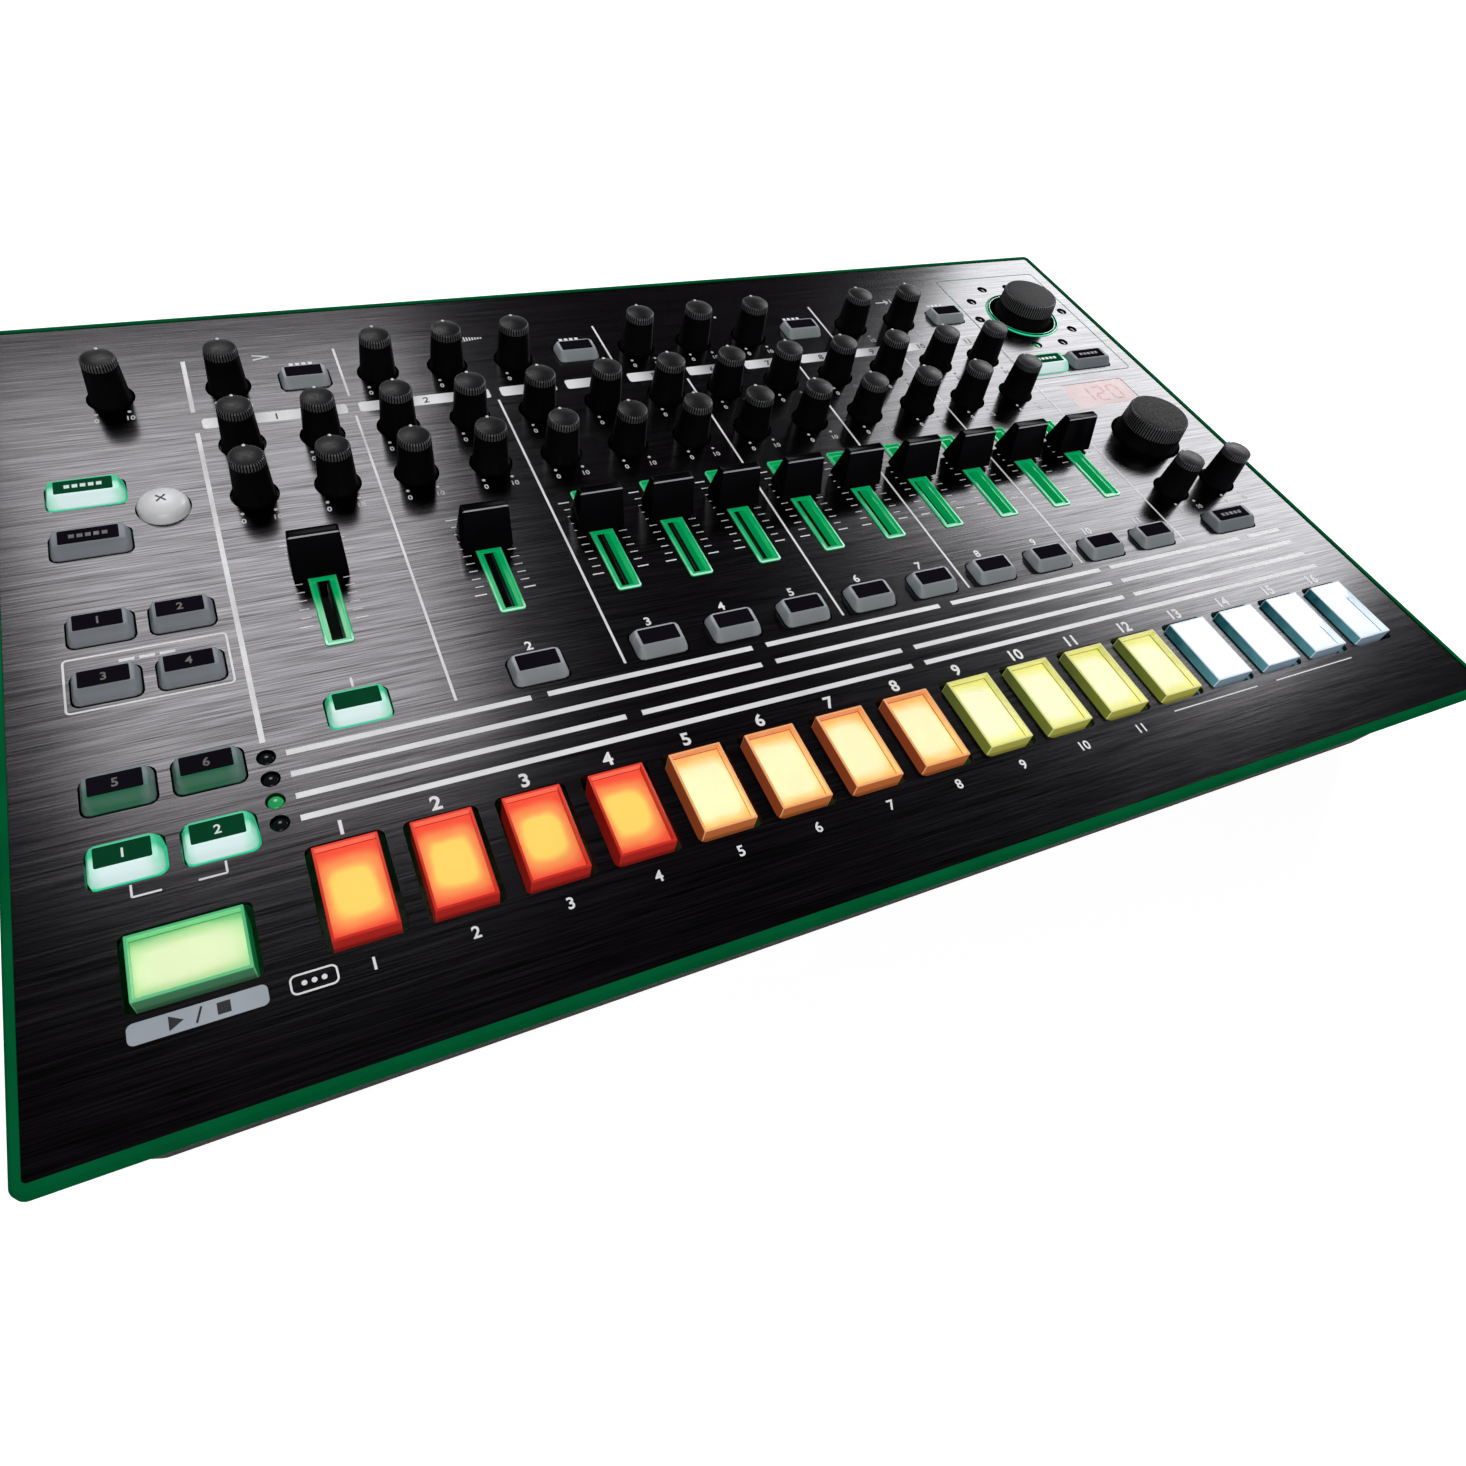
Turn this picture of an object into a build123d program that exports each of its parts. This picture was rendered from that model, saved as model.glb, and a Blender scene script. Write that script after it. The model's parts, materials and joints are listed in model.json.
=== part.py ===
from build123d import *
import math
import os

os.makedirs("parts", exist_ok=True)

# A table-top drum machine: a brushed metal panel of knobs, faders, pads and buttons in a moulded
# surround, over a tapered case. The panel slopes up to the back, so most places are given in the
# panel's own frame: x to the right of its middle, s up the slope from its front edge, and height
# out of the plate's top face. All lengths are millimetres, angles are degrees.

# Overall form
panel_width = 400.0
panel_depth = 256.7  # along the slope
panel_tilt = 3.0
front_edge_height = 39.5  # the plate's top face above the table, at the front edge
foot_height = 3.5

# Surround and plate
rim_width = 2.1
rim_rise = 0.3  # above the plate
rim_rounding = 0.9
trim_height = 2.6  # below the plate's top face
trim_corner_radius = 2.5
plate_thickness = 1.5
plate_corner_radius = 1.0
ledge_width = 6.0
ear_thickness = 3.0

# Case
case_inset = 4.0  # behind the rim, at the top of the front and side walls
case_taper = 8.5  # further inset of those walls at the floor
rear_inset = 0.6
case_wall = 2.5
case_joint = 0.1  # between the floor and the walls
floor_thickness = 2.5
case_corner_radius = 5.0
foot_radius = 9.0
foot_offset_x = 165.0
foot_offset_y = 100.0

# Case screws, in spacer tubes on the case floor and bosses of the surround
boss_inset = 19.5
boss_radius = 4.0
tube_radius = 4.0
tube_foot = 7.5  # above the table, on a raised seat of the floor
tube_top = 20.0
screw_radius = 1.45
screw_clearance = 0.25
screw_fit = 0.05
screw_length = 24.0
screw_head_radius = 2.8
screw_head_height = 1.8
screw_head_recess = 0.6
front_boss_xs = (-60.0, 60.0)
rear_boss_xs = (-56.0, 61.0)
side_boss_s = 141.3

# Control board under the plate
board_depth = 12.0  # its top face below the plate's top face
board_thickness = 1.6
board_inset = 11.0
board_gap = 1.0  # round the bosses
stud_radius = 2.5

# Grid of the knob columns
grid_pitch = 22.227
first_column_x = -136.38
upper_row_s = 217.6
middle_row_s = 189.6
lower_row_s = 167.2

# Small knobs
knob_height = 14.1
knob_top_radius = 4.65
knob_foot_radius = 5.75
knob_dome = 0.35
knob_edge = 0.5
knob_hole_radius = 6.5
knob_sink = 1.0  # how far the knob's foot goes into its hole
spindle_radius = 3.0
spindle_reach = 9.5
pointer_width = 0.9
pointer_length = 1.5
pointer_depth = 0.4
volume_x = -168.3
tempo_knobs = ((-11.1, -27.5), (11.0, -27.5))  # from the tempo dial's centre

# Large dials
value_dial_place = (166.8, 213.9)
value_dial_radius = 10.6
value_dial_height = 9.8
tempo_dial_place = (167.0, 133.1)
tempo_dial_radius = 10.75
tempo_dial_height = 10.7
dial_flare = 1.3
dial_dome = 0.3
dial_edge = 0.7
dial_hole_gap = 1.0
dial_rib_count = 36
dial_rib_radius = 0.35
dial_rib_length = 3.2
dial_rib_gap = 0.4  # under the bevelled edge
ring_outer_radius = 15.25
ring_wall = 1.5

# Lamps
scale_lamp_x = -147.4
scale_lamp_rows = (78.0, 71.9, 65.8, 59.9)
lamp_radius = 1.7
lamp_hole_radius = 2.15
lamp_sink = 0.35
lamp_length = 3.8
dial_lamp_circle = 21.3
dial_lamp_count = 10

# Faders
fader_slot_width = 7.2
fader_slot_length = 42.2
fader_slot_s = 128.3
fader_slot_radius = 0.9
fader_rest_s = 135.3  # the cap's middle, at rest
guide_wall = 1.3
guide_lip = 0.35
guide_depth = 4.2
fader_height = 12.9
fader_top_width = 12.8
fader_top_length = 3.0
fader_foot_width = 14.0
fader_foot_length = 9.4
fader_foot_height = 0.9  # above the plate
fader_edge = 0.35
lever_width = 1.9
lever_length = 5.0
lever_reach = 9.0
track_width = 8.4
track_length = 56.0
track_gap = 0.4  # under the light guide

# Pads and the start button: clear caps over a diffuser
first_pad_x = -135.6
pad_pitch = 20.69
pad_s = 39.4
pad_width = 13.8
pad_length = 22.6
pad_bank_size = 4
pad_bank_count = 4
start_place = (-168.05, 34.9)
start_width = 21.9
start_length = 14.2
cap_gap = 1.5
cap_rise = 2.0
cap_skirt = 6.6
cap_wall = 1.2
cap_corner_radius = 0.5
cap_edge = 0.5
diffuser_gap = 0.1
hole_corner_radius = 1.8

# Small buttons
button_width = 14.4
wide_button_width = 18.6
button_length = 9.4
button_rise = 2.8
button_taper = 17.0
button_corner_radius = 1.6
button_brow = 0.9  # where the front slope meets the top, in front of the middle
button_lip = 0.4  # height of the front edge above the plate
button_gap = 0.5
button_hole_radius = 2.2
round_button_place = (-159.4, 167.0)
round_button_radius = 6.45
round_button_rise = 3.4
round_button_edge = 0.9  # where its dome starts
select_row_s = 86.5
left_column_x = -177.3
second_column_x = -159.3
wide_button_rows = (176.0, 156.5)
pair_rows = (126.1, 108.1, 77.7, 59.8)
dial_button_xs = (154.2, 175.3)
dial_button_s = 180.3
tap_button_place = (165.8, 86.5)
flange_reach = 0.8  # under the plate, round every cap and button
flange_drop = 0.4
flange_thickness = 1.0
press_room = 2.0  # between a cap and its switch

# Bodies on the control board
pot_width = 9.8
pot_length = 10.6
pot_height = 6.5
spindle_gap = 0.4
encoder_size = 12.0
switch_size = 6.0

# Display
display_place = (167.1, 160.3)
display_width = 30.4
display_length = 13.9
display_gap = 0.1
display_corner_radius = 0.4
display_sink = 0.1
display_glass = 1.4
module_width = 27.0
module_length = 11.5
module_height = 5.0

# Socket board and the sockets on the back, seen from the front: x to the right
socket_board_top = 12.0  # above the table
socket_board_depth = 46.0
socket_board_gap = 8.0  # behind the rear wall's inner face
socket_board_width = 340.0
post_radius = 3.0
post_offset_x = 110.0
jack_xs = (-165.0, -142.0, -120.0, -92.0, -70.0, -42.0, -20.0)
jack_size = 16.0
jack_body_length = 28.0
jack_bore_radius = 3.25
jack_bore_length = 32.0
bushing_radius = 5.8
bushing_gap = 0.2
jack_nose = 4.1  # proud of the rear wall
nut_radius = 7.8
nut_thickness = 2.4
nut_fit = 0.05
din_xs = (16.0, 42.0)
din_radius = 8.2
din_size = 18.0
din_body_length = 14.0
din_groove_outer = 7.0
din_groove_inner = 5.5
din_groove_depth = 7.0
din_pin_count = 5
din_pin_circle = 3.7
din_pin_radius = 0.7
data_x = 78.0
data_width = 12.0
data_height = 11.0
data_wall = 1.0
data_length = 16.0
data_tongue_width = 5.6
data_tongue_height = 3.2
data_depth = 9.0
inlet_x = 106.0
inlet_radius = 4.0
inlet_size = 9.0
inlet_length = 14.0
inlet_bore_radius = 3.1
inlet_pin_radius = 1.0
inlet_depth = 9.0
switch_x = 138.0
switch_lever_width = 3.6
switch_lever_height = 3.0
switch_lever_rise = 2.5
switch_travel = 4.0
switch_gap = 0.4
switch_body_width = 20.0
switch_body_height = 9.0
switch_body_length = 8.0

# Places worked out from the sizes above
tilt = math.radians(panel_tilt)
rear_wall_reach = (panel_depth - rear_inset) * math.cos(tilt) + trim_height * math.sin(tilt)
front_edge_y = -(rear_wall_reach + jack_nose) / 2
rear_wall_y = front_edge_y + rear_wall_reach
rear_inner_y = rear_wall_y - case_wall
floor_top = foot_height + floor_thickness
socket_board_y = rear_inner_y - socket_board_gap - socket_board_depth / 2

panel = Plane(
    origin=(0, front_edge_y, front_edge_height),
    x_dir=(1, 0, 0),
    z_dir=(0, -math.sin(tilt), math.cos(tilt)),
)
panel_axis = Axis(panel.origin, panel.z_dir)
panel_middle = (0, panel_depth / 2)
rear = Plane(origin=(0, rear_wall_y, 0), x_dir=(-1, 0, 0), z_dir=(0, 1, 0))
jack_height = socket_board_top + jack_size / 2


def column_x(column):
    """The x of a knob column; half columns lie between two knobs."""
    return first_column_x + column * grid_pitch


def at_control(x, s, height=0.0):
    """A plane parallel to the panel, centred on a control."""
    origin = panel.from_local_coords(Vector(x, s, height))
    return Plane(origin=origin, x_dir=panel.x_dir, z_dir=panel.z_dir)


def upright_at(x, s):
    """A plane through a control's axis: its x is the radius and its y the height."""
    origin = panel.from_local_coords(Vector(x, s, 0))
    return Plane(origin=origin, x_dir=panel.x_dir, z_dir=-panel.y_dir)


def sideways_at(x, s):
    """A plane across a control: its x runs up the slope and its y is the height."""
    origin = panel.from_local_coords(Vector(x, s, 0))
    return Plane(origin=origin, x_dir=panel.y_dir, z_dir=panel.x_dir)


def behind(x, height):
    """A point of the rear plane, which is drawn as seen from behind."""
    return (-x, height)


def save(piece, name):
    """Labels a finished piece and writes its file."""
    piece.part.label = name
    export_step(piece.part, f"parts/{name}.step")


voices = ("low_tom", "mid_tom", "high_tom", "rim_shot", "hand_clap", "closed_hat", "open_hat", "crash", "ride")
first_voice_column = 4
voice_columns = [first_voice_column + i for i in range(len(voices))]
channel_columns = [0.5, 2.5] + voice_columns

upper_row = {
    0: "accent",
    2: "reverb_level",
    3: "reverb_time",
    4: "reverb_gate",
    6: "delay_level",
    7: "delay_time",
    8: "delay_feedback",
    10: "external_level",
    11: "external_side",
}
step_button_columns = (1, 5, 9, 12)
middle_row = ["bass_tune", "bass_attack", "snare_tune", "snare_snappy"] + [f"{v}_tune" for v in voices]
lower_row = ["bass_comp", "bass_decay", "snare_comp", "snare_decay"] + [f"{v}_decay" for v in voices]

knob_places = {"volume_knob": (volume_x, upper_row_s)}
for column, name in upper_row.items():
    knob_places[f"{name}_knob"] = (column_x(column), upper_row_s)
for column, name in enumerate(middle_row):
    knob_places[f"{name}_knob"] = (column_x(column), middle_row_s)
for column, name in enumerate(lower_row):
    knob_places[f"{name}_knob"] = (column_x(column), lower_row_s)
for name, (across, up) in zip(("shuffle_knob", "fine_tempo_knob"), tempo_knobs):
    knob_places[name] = (tempo_dial_place[0] + across, tempo_dial_place[1] + up)
small_knobs = list(knob_places.values())

fader_slots = [(column_x(column), fader_slot_s) for column in channel_columns]
fader_rests = [(column_x(column), fader_rest_s) for column in channel_columns]
select_buttons = [(column_x(column), select_row_s) for column in channel_columns]
step_buttons = [(column_x(column), upper_row_s) for column in step_button_columns]
left_buttons = [(x, s) for s in pair_rows for x in (left_column_x, second_column_x)]
wide_buttons = [(left_column_x, s) for s in wide_button_rows]
wide_buttons += [(x, dial_button_s) for x in dial_button_xs]
wide_buttons += [tap_button_place]
pad_places = [(first_pad_x + i * pad_pitch, pad_s) for i in range(pad_bank_size * pad_bank_count)]
scale_lamps = [(scale_lamp_x, s) for s in scale_lamp_rows]
dial_lamps = []
for i in range(dial_lamp_count):
    turn = math.tau * i / dial_lamp_count
    across = value_dial_place[0] + dial_lamp_circle * math.cos(turn)
    dial_lamps.append((across, value_dial_place[1] + dial_lamp_circle * math.sin(turn)))
lamp_places = scale_lamps + dial_lamps

corner_x = panel_width / 2 - boss_inset
rear_boss_s = panel_depth - boss_inset
front_bosses = [(x, boss_inset) for x in (-corner_x, *front_boss_xs, corner_x)]
rear_bosses = [(x, rear_boss_s) for x in (-corner_x, *rear_boss_xs, corner_x)]
side_bosses = [(x, side_boss_s) for x in (-corner_x, corner_x)]
boss_places = front_bosses + rear_bosses + side_bosses
boss_points = [panel.from_local_coords(Vector(x, s, -plate_thickness)) for x, s in boss_places]
boss_centres = [(point.X, point.Y) for point in boss_points]

# Studs under the plate stand in the gaps between the controls.
stud_places = [(column_x(column), (fader_slot_s + select_row_s) / 2) for column in (1.5, 3.5, 6.5, 10.5)]
stud_places += [(column_x(column), (upper_row_s + middle_row_s) / 2) for column in (0.5, 4.5, 8.5, 11.5)]
stud_places += [(column_x(column), (pad_s + select_row_s) / 2 + 3) for column in (1.5, 6.5, 11.5, 13.5)]
stud_places += [((left_column_x + second_column_x) / 2, (pair_rows[1] + pair_rows[2]) / 2)]


# Top plate: one sheet with every opening.
with BuildPart() as top_plate:
    with BuildSketch(panel.offset(-plate_thickness)):
        with Locations(panel_middle):
            RectangleRounded(panel_width - 2 * rim_width, panel_depth - 2 * rim_width, plate_corner_radius)
        with Locations(*small_knobs):
            Circle(knob_hole_radius, mode=Mode.SUBTRACT)
        with Locations(value_dial_place):
            Circle(ring_outer_radius + bushing_gap, mode=Mode.SUBTRACT)
        with Locations(tempo_dial_place):
            Circle(tempo_dial_radius + dial_flare + dial_hole_gap, mode=Mode.SUBTRACT)
        with Locations(round_button_place):
            Circle(round_button_radius + button_gap, mode=Mode.SUBTRACT)
        with Locations(*lamp_places):
            Circle(lamp_hole_radius, mode=Mode.SUBTRACT)
        with Locations(*fader_slots):
            RectangleRounded(fader_slot_width, fader_slot_length, fader_slot_radius, mode=Mode.SUBTRACT)
        with Locations(*pad_places):
            RectangleRounded(
                pad_width + 2 * cap_gap, pad_length + 2 * cap_gap, hole_corner_radius, mode=Mode.SUBTRACT
            )
        with Locations(start_place):
            RectangleRounded(
                start_width + 2 * cap_gap, start_length + 2 * cap_gap, hole_corner_radius, mode=Mode.SUBTRACT
            )
        with Locations(*select_buttons, *step_buttons, *left_buttons):
            RectangleRounded(
                button_width + 2 * button_gap,
                button_length + 2 * button_gap,
                button_hole_radius,
                mode=Mode.SUBTRACT,
            )
        with Locations(*wide_buttons):
            RectangleRounded(
                wide_button_width + 2 * button_gap,
                button_length + 2 * button_gap,
                button_hole_radius,
                mode=Mode.SUBTRACT,
            )
        with Locations(display_place):
            RectangleRounded(
                display_width + 2 * display_gap,
                display_length + 2 * display_gap,
                display_corner_radius + display_gap,
                mode=Mode.SUBTRACT,
            )
    extrude(amount=plate_thickness)
save(top_plate, "top_plate")


# Trim frame: the coloured surround. Its rim stands round the plate, its ledge and ears carry it,
# and its bosses take the case screws.
with BuildPart() as trim_frame:
    with BuildSketch(Plane.XY.offset(tube_top)):
        with Locations(*boss_centres):
            Circle(boss_radius)
    extrude(amount=front_edge_height)
    with BuildSketch(panel.offset(-plate_thickness)):
        with Locations(panel_middle):
            Rectangle(panel_width, panel_depth)
    extrude(amount=front_edge_height, mode=Mode.SUBTRACT)
    with BuildSketch(panel.offset(-plate_thickness - ear_thickness)):
        with Locations(*boss_places):
            Circle(boss_radius)
        for x, s in front_bosses + rear_bosses:
            edge_s = rim_width + ledge_width if s < panel_depth / 2 else panel_depth - rim_width - ledge_width
            with Locations((x, (s + edge_s) / 2)):
                Rectangle(2 * boss_radius, abs(s - edge_s))
        for x, s in side_bosses:
            edge_x = math.copysign(panel_width / 2 - rim_width - ledge_width, x)
            with Locations(((x + edge_x) / 2, s)):
                Rectangle(abs(x - edge_x), 2 * boss_radius)
    extrude(amount=ear_thickness)
    with BuildSketch(panel.offset(-trim_height)):
        with Locations(panel_middle):
            RectangleRounded(panel_width - 2 * rim_width, panel_depth - 2 * rim_width, plate_corner_radius)
            Rectangle(
                panel_width - 2 * rim_width - 2 * ledge_width,
                panel_depth - 2 * rim_width - 2 * ledge_width,
                mode=Mode.SUBTRACT,
            )
    extrude(amount=trim_height - plate_thickness)
    with BuildSketch(panel.offset(-trim_height)):
        with Locations(panel_middle):
            RectangleRounded(panel_width, panel_depth, trim_corner_radius)
            RectangleRounded(
                panel_width - 2 * rim_width,
                panel_depth - 2 * rim_width,
                plate_corner_radius,
                mode=Mode.SUBTRACT,
            )
    extrude(amount=trim_height + rim_rise)
    rim_top = trim_frame.faces().sort_by(panel_axis)[-1]
    fillet(rim_top.outer_wire().edges(), rim_rounding)
    with BuildSketch(Plane.XY.offset(tube_top)):
        with Locations(*boss_centres):
            Circle(screw_radius + screw_fit)
    extrude(amount=screw_length / 2, mode=Mode.SUBTRACT)
save(trim_frame, "trim_frame")


# Bottom case: a floor and four walls, moulded one by one and clamped under the surround by the case
# screws. The front and side walls lean inwards to the floor, and the back wall is upright for the
# sockets. The front corners are mitred, and the side walls meet the back wall square.
case_mouth = panel.offset(-trim_height)
case_front_s = case_inset
case_rear_s = panel_depth - rear_inset
case_front_y = front_edge_y + case_inset + case_taper
floor_width = panel_width - 2 * (case_inset + case_taper)
mouth_width = panel_width - 2 * case_inset


def case_sections(wall):
    """The case's sections at its mouth and at its floor, for a loft between them."""
    with BuildSketch(case_mouth) as mouth:
        with Locations((0, (case_front_s + case_rear_s) / 2)):
            RectangleRounded(
                mouth_width - 2 * wall, case_rear_s - case_front_s - 2 * wall, case_corner_radius - wall
            )
    with BuildSketch(Plane.XY.offset(floor_top if wall else foot_height)) as floor:
        with Locations((0, (case_front_y + rear_wall_y) / 2)):
            RectangleRounded(
                floor_width - 2 * wall, rear_wall_y - case_front_y - 2 * wall, case_corner_radius - wall
            )
    return [mouth.sketch, floor.sketch]


with BuildPart() as bottom_case:
    loft(case_sections(0), ruled=True)
    loft(case_sections(case_wall), ruled=True, mode=Mode.SUBTRACT)
    with BuildSketch(Plane.XY.offset(floor_top)):
        Rectangle(panel_width, panel_depth + case_inset)
    extrude(amount=case_joint, mode=Mode.SUBTRACT)
    with BuildSketch(Plane.XY.offset(floor_top)):
        with Locations((0, rear_inner_y - case_joint / 2)):
            Rectangle(panel_width, case_joint)
        for side in (-1, 1):
            with Locations((side * floor_width / 2, case_front_y)):
                Rectangle(4 * case_taper, case_joint, rotation=-side * 45)
    extrude(amount=2 * front_edge_height, mode=Mode.SUBTRACT)
    with BuildSketch(Plane.XY.offset(foot_height)):
        with Locations(*boss_centres):
            Circle(tube_radius)
    extrude(amount=tube_foot - foot_height)
    with BuildSketch(Plane.XY.offset(foot_height)):
        with Locations(*boss_centres):
            Circle(screw_radius + screw_clearance)
    extrude(amount=floor_top, mode=Mode.SUBTRACT)
    with BuildSketch(Plane.XY.offset(foot_height)):
        with Locations(*boss_centres):
            Circle(screw_head_radius + screw_clearance)
    extrude(amount=screw_head_recess + screw_head_height, mode=Mode.SUBTRACT)
    with BuildSketch(rear):
        with Locations(*[behind(x, jack_height) for x in jack_xs]):
            Circle(bushing_radius + bushing_gap)
        with Locations(*[behind(x, jack_height) for x in din_xs]):
            Circle(din_radius + bushing_gap)
        with Locations(behind(data_x, jack_height)):
            Rectangle(data_width + 2 * bushing_gap, data_height + 2 * bushing_gap)
        with Locations(behind(inlet_x, jack_height)):
            Circle(inlet_radius + bushing_gap)
        with Locations(behind(switch_x - switch_travel / 2, jack_height)):
            Rectangle(
                switch_lever_width + switch_travel + 2 * switch_gap, switch_lever_height + 2 * switch_gap
            )
    extrude(amount=-2 * case_wall, mode=Mode.SUBTRACT)
save(bottom_case, "bottom_case")


# Rubber feet under the floor.
with BuildPart() as rubber_feet:
    with BuildSketch(Plane.XY):
        with GridLocations(2 * foot_offset_x, 2 * foot_offset_y, 2, 2):
            Circle(foot_radius)
    extrude(amount=foot_height)
    chamfer(rubber_feet.faces().group_by(Axis.Z)[0].edges(), foot_height / 5)
save(rubber_feet, "rubber_feet")


# Case screws from below in their spacer tubes, the ring nuts that hold the audio jacks to the back
# wall, the studs under the plate that carry the control board, and the socket board's posts.
with BuildPart() as screws_and_nuts:
    head_bottom = foot_height + screw_head_recess
    with BuildSketch(Plane.XY.offset(head_bottom)):
        with Locations(*boss_centres):
            Circle(screw_head_radius)
    extrude(amount=screw_head_height)
    with BuildSketch(Plane.XY.offset(head_bottom + screw_head_height)):
        with Locations(*boss_centres):
            Circle(screw_radius)
    extrude(amount=screw_length)
    with BuildSketch(rear):
        with Locations(*[behind(x, jack_height) for x in jack_xs]):
            Circle(nut_radius)
            Circle(bushing_radius + nut_fit, mode=Mode.SUBTRACT)
    extrude(amount=nut_thickness)
    with BuildSketch(panel.offset(-board_depth)):
        with Locations(*stud_places):
            Circle(stud_radius)
    extrude(amount=board_depth - plate_thickness)
    with BuildSketch(Plane.XY.offset(tube_foot)):
        with Locations(*boss_centres):
            Circle(tube_radius)
            Circle(screw_radius + screw_clearance, mode=Mode.SUBTRACT)
    extrude(amount=tube_top - tube_foot)
    with BuildSketch(Plane.XY.offset(floor_top)):
        with Locations(*[(x, socket_board_y) for x in (-post_offset_x, 0, post_offset_x)]):
            Circle(post_radius)
    extrude(amount=socket_board_top - board_thickness - floor_top)
save(screws_and_nuts, "screws_and_nuts")


# Circuit boards: the control board hangs under the plate, and the socket board stands on posts.
with BuildPart() as circuit_boards:
    with BuildSketch(panel.offset(-board_depth - board_thickness)):
        with Locations(panel_middle):
            Rectangle(panel_width - 2 * board_inset, panel_depth - 2 * board_inset)
    extrude(amount=board_thickness)
    with BuildSketch(Plane.XY.offset(socket_board_top - board_thickness)):
        with Locations((0, socket_board_y)):
            Rectangle(socket_board_width, socket_board_depth)
    extrude(amount=board_thickness)
    with BuildSketch(Plane.XY):
        with Locations(*boss_centres):
            Circle(tube_radius + board_gap)
    extrude(amount=2 * front_edge_height, mode=Mode.SUBTRACT)
save(circuit_boards, "circuit_boards")


# Bodies on the control board: potentiometers and encoders with a bore for their spindle, fader
# tracks with a groove for their lever, and a switch under each pad and button.
with BuildPart() as control_bodies:
    board_top = panel.offset(-board_depth)
    with BuildSketch(board_top):
        with Locations(*small_knobs):
            Rectangle(pot_width, pot_length)
        with Locations(value_dial_place, tempo_dial_place):
            Rectangle(encoder_size, encoder_size)
    extrude(amount=pot_height)
    with BuildSketch(panel.offset(-spindle_reach - spindle_gap)):
        with Locations(*small_knobs, value_dial_place, tempo_dial_place):
            Circle(spindle_radius + spindle_gap)
    extrude(amount=board_depth, mode=Mode.SUBTRACT)
    with BuildSketch(board_top):
        with Locations(*fader_slots):
            Rectangle(track_width, track_length)
    extrude(amount=board_depth - guide_depth - track_gap)
    with BuildSketch(panel.offset(-lever_reach - spindle_gap)):
        with Locations(*fader_slots):
            Rectangle(lever_width + 2 * spindle_gap, fader_slot_length - 2 * guide_wall)
    extrude(amount=board_depth, mode=Mode.SUBTRACT)
    with BuildSketch(board_top):
        with Locations(*select_buttons, *step_buttons, *left_buttons, *wide_buttons):
            Rectangle(switch_size, switch_size)
        with Locations(*pad_places, start_place, round_button_place):
            Rectangle(switch_size, switch_size)
    extrude(amount=board_depth - cap_skirt - press_room)
save(control_bodies, "control_bodies")


# Light guides: a clear liner in each fader slot, a ring round the value dial, and lamp lenses.
with BuildPart() as light_guides:
    with BuildSketch(panel.offset(-guide_depth)):
        with Locations(*fader_slots):
            RectangleRounded(
                fader_slot_width - 2 * display_gap, fader_slot_length - 2 * display_gap, fader_slot_radius
            )
            Rectangle(
                fader_slot_width - 2 * guide_wall, fader_slot_length - 2 * guide_wall, mode=Mode.SUBTRACT
            )
        with Locations(value_dial_place):
            Circle(ring_outer_radius)
            Circle(ring_outer_radius - ring_wall, mode=Mode.SUBTRACT)
    extrude(amount=guide_depth + guide_lip)
    with BuildSketch(panel.offset(-lamp_length)):
        with Locations(*lamp_places):
            Circle(lamp_radius)
    extrude(amount=lamp_length - lamp_sink)
    lens_tops = light_guides.faces().filter_by(GeomType.PLANE).group_by(panel_axis)[-2]
    fillet(lens_tops.edges(), lamp_radius / 2)
save(light_guides, "light_guides")


# Display window, and the digit module behind it.
with BuildPart() as display_window:
    with BuildSketch(panel.offset(-display_sink - display_glass)):
        with Locations(display_place):
            RectangleRounded(display_width, display_length, display_corner_radius)
    extrude(amount=display_glass)
    with BuildSketch(panel.offset(-display_sink - display_glass - display_gap - module_height)):
        with Locations(display_place):
            Rectangle(module_width, module_length)
    extrude(amount=module_height)
save(display_window, "display_window")


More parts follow.
